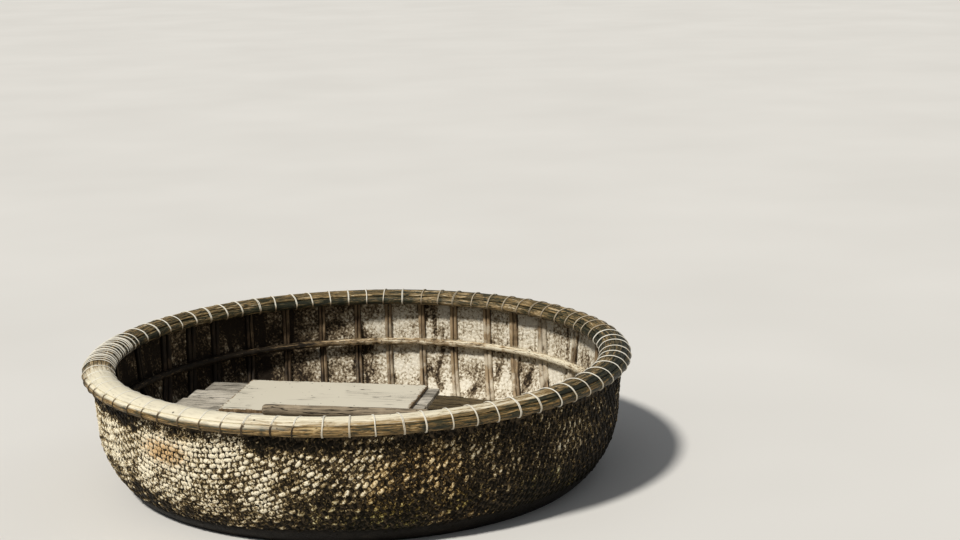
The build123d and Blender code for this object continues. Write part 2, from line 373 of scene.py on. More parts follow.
def wander(angle, rng, waves):
    """A smooth closed wander round the boat, from -1 to 1, with up to that many waves a turn."""
    total = np.zeros_like(angle)
    size = 0.0
    for wave in range(2, waves + 1):
        share = 1.0 / wave**0.5
        total += share * np.sin(wave * angle + rng.uniform(0.0, FULL_TURN)) * rng.uniform(0.4, 1.0)
        size += share * 0.7
    return total / max(size * 0.5, 1e-6)


def mottle(angle, rng, waves):
    """A smooth wander round the boat, from 0 to 1, for the tone of a bamboo."""
    return 0.5 + 0.5 * np.clip(wander(angle, rng, waves), -1.0, 1.0)


def joints_round(angle, rng, count, width):
    """Ridges at the knots of a bamboo that goes round the boat, from 0 to 1."""
    places = np.linspace(0.0, FULL_TURN, count, endpoint=False)
    places = places + rng.uniform(-0.35, 0.35, count) * FULL_TURN / count
    total = np.zeros_like(angle)
    for place in places:
        away = np.abs((angle - place + math.pi) % FULL_TURN - math.pi)
        total += np.exp(-((away / width) ** 2))
    return total


def caked_between(way, first, last):
    """Where white mud cakes the rim: 1 between two directions in degrees, and 0 past them."""
    return np.clip(np.minimum(way - first, last - way) / 12.0, 0.0, 1.0)


def arc(out, up, radius, turns):
    """Points (radius, height) on a circle in a section of the boat, at turns in degrees."""
    places = np.radians(np.asarray(turns, dtype=float))
    return [(out + radius * math.cos(turn), up + radius * math.sin(turn)) for turn in places]


def spin_mesh(name, profile, steps, closed=True, smooth=True):
    """Spin a profile of (radius, height) points round the boat."""
    bm = bmesh.new()
    verts = [bm.verts.new((out, 0.0, up)) for out, up in profile]
    pairs = range(0 if closed else 1, len(verts))
    edges = [bm.edges.new((verts[k - 1], verts[k])) for k in pairs]
    bmesh.ops.spin(
        bm,
        geom=verts + edges,
        cent=(0.0, 0.0, 0.0),
        axis=(0.0, 0.0, 1.0),
        angle=FULL_TURN,
        steps=steps,
        use_merge=True,
    )
    bmesh.ops.remove_doubles(bm, verts=bm.verts[:], dist=1e-6)
    bmesh.ops.recalc_face_normals(bm, faces=bm.faces[:])
    return finish_mesh(bm, name, smooth)


def ring_place(mesh):
    """Angle, radius and height of each vertex of a ring."""
    points = read_points(mesh)
    return np.arctan2(points[:, 1], points[:, 0]), np.hypot(points[:, 0], points[:, 1]), points[:, 2]


def set_ring(mesh, angle, out, up):
    write_points(mesh, np.stack([out * np.cos(angle), out * np.sin(angle), up], axis=1))


def extrude_rows(bm, verts, edges, steps):
    """Extrude a ring of edges step by step; returns the rows of vertices and the last ring."""
    rows = [verts]
    for _ in range(steps):
        made = bmesh.ops.extrude_edge_only(bm, edges=edges)["geom"]
        row = [part for part in made if isinstance(part, bmesh.types.BMVert)]
        bars = [part for part in made if isinstance(part, bmesh.types.BMEdge)]
        edges = [bar for bar in bars if all(end in row for end in bar.verts)]
        rows.append(row)
    return rows, edges


def repeat_mesh(mesh, name, steps):
    """Repeat a mesh with Array modifiers; steps are (count, offset) pairs."""
    carrier = bpy.data.objects.new(name, mesh)
    bpy.context.scene.collection.objects.link(carrier)
    for count, offset in steps:
        array = carrier.modifiers.new("Repeat", "ARRAY")
        array.count = count
        array.use_relative_offset = False
        array.use_constant_offset = True
        array.constant_offset_displace = offset
    return mesh_of(carrier)


def mesh_of(carrier):
    """The finished mesh of an object, which is removed."""
    view = bpy.context.evaluated_depsgraph_get()
    mesh = bpy.data.meshes.new_from_object(carrier.evaluated_get(view))
    bpy.data.objects.remove(carrier)
    return mesh


# Making materials


def new_material(name, rough, shine=0.22):
    material = bpy.data.materials.new(name)
    material.use_nodes = True
    tree = material.node_tree
    shader = tree.nodes["Principled BSDF"]
    shader.inputs["Roughness"].default_value = rough
    shader.inputs["Specular IOR Level"].default_value = shine
    return material, tree, shader


def add_node(tree, kind, inputs=None, **settings):
    """Add a shader node, set its properties, and set or link its inputs."""
    node = tree.nodes.new(kind)
    for key, value in settings.items():
        setattr(node, key, value)
    for key, value in (inputs or {}).items():
        if isinstance(value, bpy.types.NodeSocket):
            tree.links.new(value, node.inputs[key])
        else:
            node.inputs[key].default_value = value
    return node


def calc(tree, operation, first, second=0.0, third=0.0, clamp=False):
    inputs = {0: first, 1: second, 2: third}
    return add_node(tree, "ShaderNodeMath", inputs, operation=operation, use_clamp=clamp).outputs[0]


def plus(tree, first, second, clamp=False):
    return calc(tree, "ADD", first, second, clamp=clamp)


def minus(tree, first, second):
    return calc(tree, "SUBTRACT", first, second)


def times(tree, first, second):
    return calc(tree, "MULTIPLY", first, second)


def lever(tree, value, factor, base, clamp=False):
    """A value times a factor, plus a base."""
    return calc(tree, "MULTIPLY_ADD", value, factor, base, clamp)


def vector_calc(tree, operation, first, second=(0.0, 0.0, 0.0)):
    node = add_node(tree, "ShaderNodeVectorMath", {0: first, 1: second}, operation=operation)
    return node.outputs["Value" if operation in ("LENGTH", "DOT_PRODUCT") else "Vector"]


def axes_of(tree, vector):
    return add_node(tree, "ShaderNodeSeparateXYZ", {0: vector}).outputs


def vector_of(tree, x, y=0.0, z=0.0):
    return add_node(tree, "ShaderNodeCombineXYZ", {"X": x, "Y": y, "Z": z}).outputs[0]


def remap(tree, value, low, high, to_low=0.0, to_high=1.0):
    """Map a value from one range to another, smoothly and clamped."""
    node = add_node(
        tree,
        "ShaderNodeMapRange",
        {"Value": value, "From Min": low, "From Max": high, "To Min": to_low, "To Max": to_high},
        interpolation_type="SMOOTHSTEP",
    )
    return node.outputs["Result"]


def ramp(tree, value, stops):
    """Colours along a value; each stop is (place, colour or number), in rising order."""
    node = add_node(tree, "ShaderNodeValToRGB", {"Fac": value})
    elements = node.color_ramp.elements
    while len(elements) < len(stops):
        elements.new(0.5)
    for element, (place, color) in zip(elements, stops):
        element.position = place
        if isinstance(color, (int, float)):
            color = (color, color, color)
        element.color = (color[0], color[1], color[2], 1.0)
    return node.outputs["Color"]


def mix(tree, share, first, second, blend="MIX"):
    node = add_node(tree, "ShaderNodeMix", data_type="RGBA", blend_type=blend)
    for key, value in (("Factor", share), ("A", first), ("B", second)):
        socket = [one for one in node.inputs if one.name == key and one.enabled][0]
        if isinstance(value, bpy.types.NodeSocket):
            tree.links.new(value, socket)
        elif key == "Factor":
            socket.default_value = value
        else:
            socket.default_value = (value[0], value[1], value[2], 1.0)
    return [one for one in node.outputs if one.enabled][0]


def tinted(tree, share, color, tint):
    """A colour that is multiplied by a tint, by a share."""
    return mix(tree, share, color, mix(tree, 1.0, color, tint, "MULTIPLY"))


def noise(tree, vector, scale, detail, rough=0.55, distort=0.0):
    inputs = {"Vector": vector, "Scale": scale, "Detail": detail, "Roughness": rough, "Distortion": distort}
    return add_node(tree, "ShaderNodeTexNoise", inputs).outputs["Fac"]


def thin_lines(tree, field, low, high):
    """Thin lines where a noise crosses its middle, fading out from low to high beside it."""
    return remap(tree, calc(tree, "ABSOLUTE", minus(tree, field, 0.5)), low, high, 1.0, 0.0)


def object_place(tree):
    return add_node(tree, "ShaderNodeTexCoord").outputs["Object"]


def stretch(tree, vector, scale, turn=0.0):
    """A pattern's vector turned about Z and scaled along its own axes."""
    inputs = {"Vector": vector, "Rotation": (0.0, 0.0, -turn)}
    turned = add_node(tree, "ShaderNodeMapping", inputs, vector_type="POINT").outputs[0]
    return vector_calc(tree, "MULTIPLY", turned, scale)


def attribute(tree, name):
    return add_node(tree, "ShaderNodeAttribute", attribute_name=name).outputs["Fac"]


def finish_look(tree, shader, color, height, distance, strength=0.7):
    """Link a colour and a bump to a material's shader."""
    tree.links.new(color, shader.inputs["Base Color"])
    inputs = {"Height": height, "Distance": distance, "Strength": strength}
    relief = add_node(tree, "ShaderNodeBump", inputs)
    tree.links.new(relief.outputs["Normal"], shader.inputs["Normal"])


def new_group(name, inputs, outputs):
    """A shader node group with named sockets; returns the tree, what it is given and its end."""
    tree = bpy.data.node_groups.new(name, "ShaderNodeTree")
    for label, kind, value in inputs:
        socket = tree.interface.new_socket(name=label, in_out="INPUT", socket_type=kind)
        if value is not None:
            socket.default_value = value
    for label, kind in outputs:
        tree.interface.new_socket(name=label, in_out="OUTPUT", socket_type=kind)
    return tree, tree.nodes.new("NodeGroupInput").outputs, tree.nodes.new("NodeGroupOutput").inputs


def end_group(tree, ends, results):
    for label, socket in results.items():
        tree.links.new(socket, ends[label])
    return tree


def use_group(tree, name, build, inputs=None):
    """Place a shared node group, which is built at its first use."""
    group = bpy.data.node_groups.get(name) or build(name)
    return add_node(tree, "ShaderNodeGroup", inputs, node_tree=group).outputs


FLOAT = "NodeSocketFloat"
VECTOR = "NodeSocketVector"


def build_sides(name):
    """Which sides of the boat are paler and which darker: masks for the rim and for the bowl. They are partly
    sun bleaching and stain, and partly painted sunlight on the left and front with painted shade at the
    right.
    """
    tree, _, ends = new_group(
        name, [], [("Rim", FLOAT), ("Bowl", FLOAT), ("Patch", FLOAT), ("White", FLOAT), ("Round", VECTOR)]
    )
    place = object_place(tree)
    axes = axes_of(tree, place)
    angle = calc(tree, "ARCTAN2", axes["Y"], axes["X"])
    # From 0 at the left, past the front, the right and the back, to 1
    turn = lever(tree, angle, 0.5 / math.pi, 0.5)
    wavy = plus(tree, turn, lever(tree, noise(tree, place, 2.2, 3.0), 0.10, -0.05))
    rim = ramp(
        tree,
        wavy,
        [(0.0, 0.30), (0.03, 0.44), (0.05, 0.92), (0.14, 1.0), (0.25, 1.0), (0.30, 0.90), (0.335, 0.60),
         (0.37, 0.18), (0.46, 0.05), (0.53, 0.17), (0.575, 0.28), (0.68, 0.28), (0.78, 0.25), (0.86, 0.14),
         (0.95, 0.20), (1.0, 0.30)],
    )
    bowl = ramp(
        tree,
        wavy,
        [(0.0, 0.72), (0.07, 0.84), (0.17, 0.84), (0.225, 0.64), (0.28, 0.48), (0.34, 0.38),
         (0.45, 0.17), (0.60, 0.26), (0.75, 0.40), (0.90, 0.52), (1.0, 0.72)],
    )
    radius = vector_calc(tree, "LENGTH", vector_calc(tree, "MULTIPLY", place, (1.0, 1.0, 0.0)))
    patch = noise(tree, place, 6.5, 6.0, 0.68)
    white = remap(tree, lever(tree, patch, 1.5, minus(tree, bowl, 0.75)), 0.72, 1.04)
    white = times(tree, white, remap(tree, axes["Z"], 0.06, 0.20))
    around = vector_of(tree, times(tree, angle, 0.93), radius, axes["Z"])
    return end_group(tree, ends, {"Rim": rim, "Bowl": bowl, "Patch": patch, "White": white, "Round": around})


def build_grain(name):
    """Fibres that run along X of the vector, with a fine and a coarse scale."""
    tree, given, ends = new_group(
        name, [("Vector", VECTOR, None), ("Scale", FLOAT, 1.0)],
        [("Fibre", FLOAT), ("Coarse", FLOAT), ("Cracks", FLOAT)],
    )
    vector = vector_calc(tree, "MULTIPLY", given["Vector"], (0.085, 1.0, 1.0))
    scaled = add_node(
        tree, "ShaderNodeVectorMath", {0: vector, "Scale": given["Scale"]}, operation="SCALE"
    ).outputs[0]
    fibre = noise(tree, scaled, 900.0, 3.0, 0.6)
    coarse = noise(tree, scaled, 150.0, 6.0, 0.68, 0.4)
    cracks = thin_lines(tree, noise(tree, scaled, 75.0, 3.0, 0.6, 0.2), 0.003, 0.020)
    return end_group(tree, ends, {"Fibre": fibre, "Coarse": coarse, "Cracks": cracks})


def build_specks(name):
    """Small dark specks and larger stains, as masks."""
    tree, given, ends = new_group(
        name, [("Vector", VECTOR, None), ("Scale", FLOAT, 60.0)], [("Specks", FLOAT), ("Stains", FLOAT)]
    )
    inputs = {"Vector": given["Vector"], "Scale": given["Scale"], "Randomness": 1.0}
    cells = add_node(tree, "ShaderNodeTexVoronoi", inputs).outputs
    near = remap(tree, cells["Distance"], 0.08, 0.20, 1.0, 0.0)
    pick = add_node(tree, "ShaderNodeSeparateColor", {0: cells["Color"]}).outputs[0]
    specks = times(tree, near, calc(tree, "GREATER_THAN", pick, 0.72))
    stains = remap(tree, noise(tree, given["Vector"], 5.0, 6.0, 0.65), 0.50, 0.72)
    return end_group(tree, ends, {"Specks": specks, "Stains": stains})


def build_smear(name):
    """How thick and clean the dry smear of resin and mud lies inside, with dark runs down the wall, and
    painted light: the right wall paler as if sunlit, the left wall darker as painted shade.
    """
    tree, _, ends = new_group(name, [], [("Smear and light", FLOAT), ("Rough", FLOAT)])
    place = object_place(tree)
    # Painted light: paler towards the right, painted shade towards the left
    lit = remap(tree, axes_of(tree, place)["X"], -0.55, 0.40, 0.06, 0.80)
    coarse = noise(tree, place, 9.0, 6.0, 0.62)
    fine = noise(tree, place, 110.0, 5.0, 0.65)
    upright = stretch(tree, place, (1.0, 1.0, 0.10))
    runs = remap(tree, noise(tree, upright, 17.0, 4.0, 0.6), 0.53, 0.66, 0.0, -0.50)
    mood = lever(tree, coarse, 2.0, lever(tree, fine, 2.2, -2.04))
    smear = plus(tree, plus(tree, mood, runs), lit)
    return end_group(tree, ends, {"Smear and light": smear, "Rough": lever(tree, coarse, 0.6, fine)})


def smear_of(tree):
    return use_group(tree, "Wall smear and painted light", build_smear)


def sides_of(tree):
    return use_group(tree, "Bleached sides and painted light", build_sides)


def grain_of(tree, vector, scale=1.0):
    return use_group(tree, "Bamboo grain", build_grain, {"Vector": vector, "Scale": scale})


def specks_of(tree, vector, scale):
    return use_group(tree, "Specks and stains", build_specks, {"Vector": vector, "Scale": scale})


def shaded(color, factor):
    return (color[0] * factor, color[1] * factor, color[2] * factor)


def strip_material():
    """Woven strips outside: paler at the left and front, partly bleached and partly painted sunlight; darker
    at the right, partly stained and partly painted shade.
    """
    settings = bpy.context.scene.coracle_bowl
    pale = settings.strip_pale
    dark = settings.strip_dark_and_shade
    material, tree, shader = new_material("Woven strips", 0.55, 0.08)
    place = object_place(tree)
    axes = axes_of(tree, place)
    sides = sides_of(tree)
    tone = attribute(tree, "tone")
    fine = noise(tree, place, 130.0, 5.0, 0.75)
    along = times(tree, attribute(tree, "along"), 0.6)
    flat = vector_of(tree, along, attribute(tree, "across"), times(tree, tone, 3.0))
    fibre = noise(tree, flat, 240.0, 3.0, 0.6)
    # Darker towards the water, and a painted shadow band under the rim, deepest at the left
    low = remap(tree, axes["Z"], 0.04, 0.27, -0.52, 0.0)
    high = remap(tree, lever(tree, sides["Patch"], -0.05, axes["Z"]), 0.305, 0.345, 0.0, 1.0)
    high = times(tree, high, remap(tree, axes["X"], -0.40, 0.10, -0.75, -0.22))
    # Each strip has its own tone at random, partly real and spread wide as painted highlights on single
    # strips; less so where white mud covers them
    mood = lever(tree, tone, 0.82, -0.42)
    mood = times(tree, mood, lever(tree, sides["White"], -0.60, 1.0))
    # The bowl's side mask: partly bleaching and stain, partly painted sunlight at the left and front and
    # painted shade at the right
    mood = plus(tree, mood, sides["Bowl"])
    mood = lever(tree, sides["Patch"], 1.90, minus(tree, mood, 0.95))
    # Flaking mud and fibres, and painted shade at the edges of each piece, where it dips under the next strip
    flakes = lever(tree, sides["White"], 3.6, 3.4)
    mood = lever(tree, minus(tree, fine, 0.5), flakes, mood)
    mood = lever(tree, fibre, 1.20, minus(tree, mood, 0.60))
    mood = plus(tree, mood, plus(tree, low, high))
    mood = lever(tree, sides["White"], 0.14, mood)
    mood = lever(tree, attribute(tree, "border"), lever(tree, sides["White"], 0.44, -0.58), mood)
    tarred = lever(tree, axes["X"], -0.010, lever(tree, fine, 0.03, axes["Z"]))
    mood = plus(tree, mood, remap(tree, tarred, 0.064, 0.080, -1.2, 0.0), clamp=True)
    color = ramp(
        tree,
        mood,
        [(0.0, shaded(dark, 0.30)), (0.18, dark), (0.40, (0.135, 0.088, 0.034)), (0.58, (0.36, 0.265, 0.125)),
         (0.74, (0.68, 0.58, 0.38)), (0.90, pale)],
    )
    rust = remap(tree, noise(tree, place, 3.1, 3.0, 0.5), 0.54, 0.66, 0.0, 0.5)
    color = tinted(tree, rust, color, (0.97, 0.76, 0.42))
    # One orange patch at the front left
    apart = vector_calc(tree, "SUBTRACT", place, (-0.65, -0.69, 0.295))
    apart = vector_calc(tree, "LENGTH", vector_calc(tree, "MULTIPLY", apart, (1.0, 1.0, 2.6)))
    orange = remap(tree, lever(tree, fine, -0.60, apart), -0.26, -0.18, 0.75, 0.0)
    patch = ramp(tree, mood, [(0.3, (0.05, 0.026, 0.008)), (1.0, (0.58, 0.31, 0.08))])
    color = mix(tree, orange, color, patch)
    # Moss near the water, towards the right
    moss = remap(tree, noise(tree, place, 4.3, 3.0, 0.5), 0.42, 0.60, 0.0, 0.7)
    moss = times(tree, moss, remap(tree, axes["Z"], 0.22, 0.12))
    moss = times(tree, moss, remap(tree, axes["X"], -0.35, 0.05))
    color = tinted(tree, moss, color, (0.82, 0.98, 0.55))
    height = plus(tree, noise(tree, place, 520.0, 3.0), times(tree, plus(tree, fine, fibre), 1.3))
    finish_look(tree, shader, color, height, 0.0016)
    return material


def inner_wall_material():
    """The bowl itself: dark behind the strips, which is dark resin and painted shade in the gaps between
    them; inside smeared grey-beige and rough, paler at the right as painted light.
    """
    material, tree, shader = new_material("Bowl wall", 0.88)
    coords = add_node(tree, "ShaderNodeTexCoord").outputs
    place = coords["Object"]
    outside = remap(tree, vector_calc(tree, "DOT_PRODUCT", coords["Normal"], place), -0.01, 0.01)
    smear = smear_of(tree)
    inside = ramp(
        tree,
        plus(tree, smear["Smear and light"], -0.08, clamp=True),
        [(0.0, SOOT), (0.25, MUD), (0.48, CLAY), (0.68, (0.54, 0.47, 0.35)), (0.90, (0.78, 0.72, 0.60))],
    )
    fine = noise(tree, place, 90.0, 5.0, 0.65)
    # Near black for the face between the strips: dark resin and painted shade in the gaps
    behind = ramp(tree, fine, [(0.40, (0.008, 0.006, 0.003)), (0.62, (0.085, 0.060, 0.032))])
    finish_look(tree, shader, mix(tree, outside, inside, behind), smear["Rough"], 0.0030)
    return material


def inner_strip_material():
    """Woven strips inside, nearly covered by a dry smear of resin and mud, paler at the right as painted
    light and darker at the left as painted shade, with painted shade at the edges of each piece.
    """
    material, tree, shader = new_material("Inner strips", 0.9)
    smear = smear_of(tree)
    mood = lever(tree, attribute(tree, "tone"), 0.16, plus(tree, smear["Smear and light"], -0.03))
    # Painted shade at the edges of each piece
    mood = lever(tree, attribute(tree, "border"), -0.14, mood, clamp=True)
    color = ramp(
        tree,
        mood,
        [(0.0, SOOT), (0.25, MUD), (0.45, CLAY), (0.64, (0.58, 0.51, 0.385)), (0.85, (0.84, 0.79, 0.665))],
    )
    finish_look(tree, shader, color, smear["Rough"], 0.0022)
    return material


def tar_material():
    """Black tar, dull and a little grainy."""
    material, tree, shader = new_material("Tar coat", 0.55, 0.06)
    place = object_place(tree)
    coarse = noise(tree, place, 22.0, 5.0, 0.6)
    fine = noise(tree, place, 150.0, 4.0, 0.6)
    stops = [(0.30, (0.006, 0.005, 0.004)), (0.60, (0.013, 0.011, 0.009)), (0.80, (0.030, 0.025, 0.018))]
    tree.links.new(remap(tree, fine, 0.3, 0.7, 0.45, 0.70), shader.inputs["Roughness"])
    finish_look(tree, shader, ramp(tree, coarse, stops), lever(tree, coarse, 2.0, fine), 0.0020)
    return material


def rim_wood_material(name, pale, middle, dark, spread=1.0, shift=0.0, calm=0.0, inside=False):
    """Split bamboo that goes round the boat, in three colours by its side.

    spread and shift set how far it follows the side mask of bleaching, stain and painted light, and calm
    evens out those sides. A hoop inside the boat is only paler at the right: its left is darker with stain
    and painted shade.
    """
    material, tree, shader = new_material(name, 0.5)
    sides = sides_of(tree)
    grain = grain_of(tree, sides["Round"])
    specks = specks_of(tree, sides["Round"], 38.0)
    rough = lever(tree, grain["Coarse"], 2.5, -1.25)
    rough = lever(tree, attribute(tree, "tone"), 0.34, minus(tree, rough, 0.17))
    rough = lever(tree, grain["Fibre"], 1.0, minus(tree, rough, 0.50))
    rough = lever(tree, grain["Cracks"], -0.48, plus(tree, rough, 0.07))
    rough = lever(tree, specks["Stains"], -0.26, rough)
    rough = lever(tree, attribute(tree, "knot"), -0.30, rough)
    rough = times(tree, rough, lever(tree, sides["Rim"], -calm, 1.0))
    if inside:
        # Stain and painted shade at the left, where the sun does not reach this wall
        share = remap(tree, axes_of(tree, object_place(tree))["X"], -0.45, 0.30, 0.0, 0.70)
    else:
        # Darker on the rim's outer side: partly its own darker wood, partly painted shade on the side that
        # the high sun hardly lights
        reach = axes_of(tree, sides["Round"])["Y"]
        outer = remap(tree, reach, RIM_MIDDLE + 0.020, RIM_MIDDLE + 0.036, 0.0, -0.34)
        share = plus(tree, lever(tree, sides["Rim"], spread, shift), outer)
    fair = tuple((second + first * 2) / 3 for first, second in zip(pale, middle))
    color = ramp(
        tree,
        plus(tree, share, rough, clamp=True),
        [(0.0, shaded(dark, 0.4)), (0.16, dark), (0.38, shaded(middle, 0.45)), (0.58, middle), (0.80, fair),
         (0.97, pale)],
    )
    white = tuple(bpy.context.scene.coracle_rim.lath_pale)
    stops = [(0.0, shaded(white, 0.60)), (0.35, shaded(white, 0.93)), (0.9, white)]
    color = mix(tree, attribute(tree, "caked"), color, ramp(tree, plus(tree, rough, 0.5), stops))
    color = mix(tree, times(tree, specks["Specks"], 0.9), color, (0.06, 0.045, 0.028))
    height = minus(tree, lever(tree, grain["Coarse"], 2.0, grain["Fibre"]), grain["Cracks"])
    finish_look(tree, shader, color, height, 0.0010)
    return material


def rib_material():
    """Half-split bamboo ribs: brown-grey with knots, painted shade along the edges that meet the wall and at
    the left of the boat, smeared with mud at the right.
    """
    dry = bpy.context.scene.coracle_inside.rib_color
    material, tree, shader = new_material("Rib bamboo", 0.6)
    tone = attribute(tree, "tone")
    border = attribute(tree, "border")
    place = object_place(tree)
    axes = axes_of(tree, place)
    # Painted light: paler towards the right, painted shade towards the left
    lit = remap(tree, axes["X"], -0.60, 0.40, -0.36, 0.12)
    vector = vector_of(tree, attribute(tree, "along"), times(tree, border, 0.015), times(tree, tone, 9.0))
    grain = grain_of(tree, vector)
    stain = noise(tree, place, 14.0, 5.0, 0.6)
    mood = lever(tree, grain["Coarse"], 1.5, lever(tree, stain, 0.9, -0.77))
    mood = lever(tree, grain["Cracks"], -0.25, mood)
    mood = lever(tree, tone, 0.28, minus(tree, mood, 0.14))
    mood = lever(tree, attribute(tree, "knot"), -0.30, plus(tree, mood, lit))
    # Painted shade along the edges where the rib meets the wall
    mood = lever(tree, calc(tree, "POWER", border, 5.0), -0.35, mood, clamp=True)
    color = ramp(
        tree,
        mood,
        [(0.0, SOOT), (0.28, (0.10, 0.065, 0.036)), (0.52, shaded(dry, 0.72)), (0.74, dry),
         (0.97, (0.66, 0.57, 0.42))],
    )
    smear = remap(tree, lever(tree, axes["Z"], -0.35, noise(tree, place, 9.0, 5.0, 0.7)), 0.40, 0.50)
    smear = times(tree, smear, remap(tree, axes["X"], -0.15, 0.45, 0.0, 0.85))
    mud = ramp(tree, stain, [(0.35, (0.34, 0.27, 0.18)), (0.55, (0.68, 0.61, 0.48))])
    height = plus(tree, grain["Fibre"], grain["Coarse"])
    finish_look(tree, shader, mix(tree, smear, color, mud), height, 0.0007, 0.6)
    return material


def board_material(name, turn, base, worn):
    """Weathered sawn wood whose grain runs along its planks, with dark cracks along the grain."""
    material, tree, shader = new_material(name, 0.82)
    place = object_place(tree)
    tone = attribute(tree, "tone")
    vector = stretch(tree, place, (1.0, 1.0, 1.0), turn)
    vector = vector_calc(tree, "ADD", vector, vector_of(tree, times(tree, tone, 7.0)))
    grain = grain_of(tree, vector, 0.8)
    lines = noise(tree, stretch(tree, vector, (1.4, 26.0, 26.0)), 3.0, 4.0, 0.55, 0.4)
    crack = thin_lines(tree, lines, 0.004, 0.020)
    stain = noise(tree, place, 9.0, 6.0, 0.65)
    mood = lever(tree, grain["Coarse"], 0.75, lever(tree, stain, 0.6, -0.25))
    mood = lever(tree, tone, 0.22, minus(tree, mood, 0.11))
    mood = lever(tree, crack, -0.45, mood, clamp=True)
    stops = [(0.0, shaded(base, 0.06)), (0.25, shaded(base, 0.35)), (0.50, base), (0.85, worn)]
    height = lever(tree, crack, -2.5, plus(tree, grain["Coarse"], grain["Fibre"]))
    finish_look(tree, shader, ramp(tree, mood, stops), height, 0.0014)
    return material


def paint_material():
    """White paint on the deck board, cracked along the grain and worn to brown wood at its edges; its side
    faces are brown, partly worn wood and partly painted shade.
    """
    paint = bpy.context.scene.coracle_inside.paint_color
    material, tree, shader = new_material("Painted board", 0.62)
    coords = add_node(tree, "ShaderNodeTexCoord").outputs
    vector = stretch(tree, coords["Object"], (1.0, 1.0, 1.0), DECK_TURN)
    # Distance to the nearest edge of the board
    near = None
    axes = axes_of(tree, vector)
    for axis, start, size in zip("XY", BOARD_CORNER, BOARD_SIZE):
        for distance in (minus(tree, axes[axis], start), minus(tree, start + size, axes[axis])):
            near = distance if near is None else calc(tree, "MINIMUM", near, distance)
    edge = remap(tree, near, 0.0, 0.022, 1.0, 0.0)
    lines = noise(tree, stretch(tree, vector, (1.2, 20.0, 20.0)), 1.6, 2.0, 0.5, 0.2)
    here = remap(tree, noise(tree, vector, 5.0, 2.0), 0.50, 0.60)
    crack = times(tree, thin_lines(tree, lines, 0.002, 0.010), here)
    # Side faces turn brown: worn wood, and partly painted shade on the faces that turn away from the sky
    side = remap(tree, axes_of(tree, coords["Normal"])["Z"], 0.85, 0.45)
    chips = noise(tree, vector, 60.0, 5.0, 0.65)
    bare = lever(tree, edge, 0.42, lever(tree, chips, 1.4, -0.80))
    bare = remap(tree, lever(tree, side, 0.45, bare), 0.24, 0.34)
    specks = specks_of(tree, vector, 45.0)
    stops = [(0.3, (0.035, 0.022, 0.012)), (0.52, (0.19, 0.125, 0.065)), (0.72, (0.42, 0.31, 0.19))]
    color = mix(tree, times(tree, specks["Stains"], 0.18), paint, (0.50, 0.45, 0.37))
    color = mix(tree, bare, color, ramp(tree, chips, stops))
    dark = calc(tree, "MAXIMUM", crack, times(tree, specks["Specks"], 0.8))
    color = mix(tree, dark, color, (0.05, 0.036, 0.024))
    height = lever(tree, crack, -2.0, lever(tree, bare, -1.0, times(tree, chips, 0.4)))
    finish_look(tree, shader, color, height, 0.0012, 0.8)
    return material


def cord_material():
    """Twisted cord: white at a high tone, tan and dark at lower tones."""
    clean = bpy.context.scene.coracle_rim.cord_color
    material, tree, shader = new_material("Lashing cord", 0.8)
    twist = calc(tree, "SINE", times(tree, attribute(tree, "along"), 1500.0))
    fuzz = noise(tree, object_place(tree), 300.0, 4.0, 0.7)
    mood = lever(tree, fuzz, 0.35, minus(tree, attribute(tree, "tone"), 0.17))
    mood = lever(tree, twist, 0.05, mood, clamp=True)
    old = (0.045, 0.032, 0.019)
    stops = [(0.0, old), (0.30, (0.22, 0.16, 0.095)), (0.55, (0.52, 0.45, 0.33)), (0.85, clean)]
    finish_look(tree, shader, ramp(tree, mood, stops), lever(tree, fuzz, 0.6, twist), 0.0004, 0.8)
    return material


def pole_wood():
    """Grey wood of the deck's bearers and its pole, made at its first use."""
    name = "Pole wood"
    made = bpy.data.materials.get(name)
    return made or board_material(name, DECK_TURN, (0.36, 0.29, 0.20), (0.56, 0.49, 0.38))


# The strips of the bowl


def strip_template(name, places, long_way, cuts, size, relief):
    """Raised strip pieces at places on the flat mat: crowned across, dipping under at both ends."""
    bm = bmesh.new()
    border = bm.verts.layers.float.new("border")
    steps = (len(cuts[0]) - 1, len(cuts[1]) - 1)
    for place in places:
        made = bmesh.ops.create_grid(bm, x_segments=steps[0], y_segments=steps[1], size=0.5)
        for vert in made["verts"]:
            along = cuts[0][round((vert.co.x + 0.5) * steps[0])]
            across = cuts[1][round((vert.co.y + 0.5) * steps[1])]
            first = 0.5 * size[0] * along * (1.0 - 0.16 * across * across)
            second = 0.5 * size[1] * across * (1.0 - 0.30 * along * along)
            if not long_way:
                first, second = second, first
            height = (1.0 - abs(along) ** 2.4) * (1.0 - 0.26 * across**2 - 0.74 * across**8)
            vert.co = (place[0] + first, place[1] + second, relief * height - STRIP_SINK)
            vert[border] = max(abs(along), abs(across)) ** 2.0
    return finish_mesh(bm, name)


def jitter_strips(points, rng, relief):
    """Give each strip piece, a row of points, its own size, turn, tilt and place."""
    count = len(points)
    middle = points.mean(axis=1)
    middle[:, 2] = 0.0
    local = points - middle[:, None, :]
    local = local * (1.0 + rng.normal(0.0, 0.08, (count, 1, 3)) * np.array([1.0, 1.0, 2.0]))
    sway = rng.normal(0.0, 0.13, count)
    tilt = rng.normal(0.0, 0.11, (count, 2))
    c = np.cos(sway)[:, None]
    s = np.sin(sway)[:, None]
    turned = local.copy()
    turned[:, :, 0] = local[:, :, 0] * c - local[:, :, 1] * s
    turned[:, :, 1] = local[:, :, 0] * s + local[:, :, 1] * c
    crown_share = np.clip(local[:, :, 2] / relief + 0.25, 0.0, 1.0)
    turned[:, :, 2] += crown_share * (tilt[:, 0:1] * local[:, :, 0] + tilt[:, 1:2] * local[:, :, 1])
    middle[:, 0:2] += rng.normal(0.0, 0.0009, (count, 2))
    return turned + middle[:, None, :]


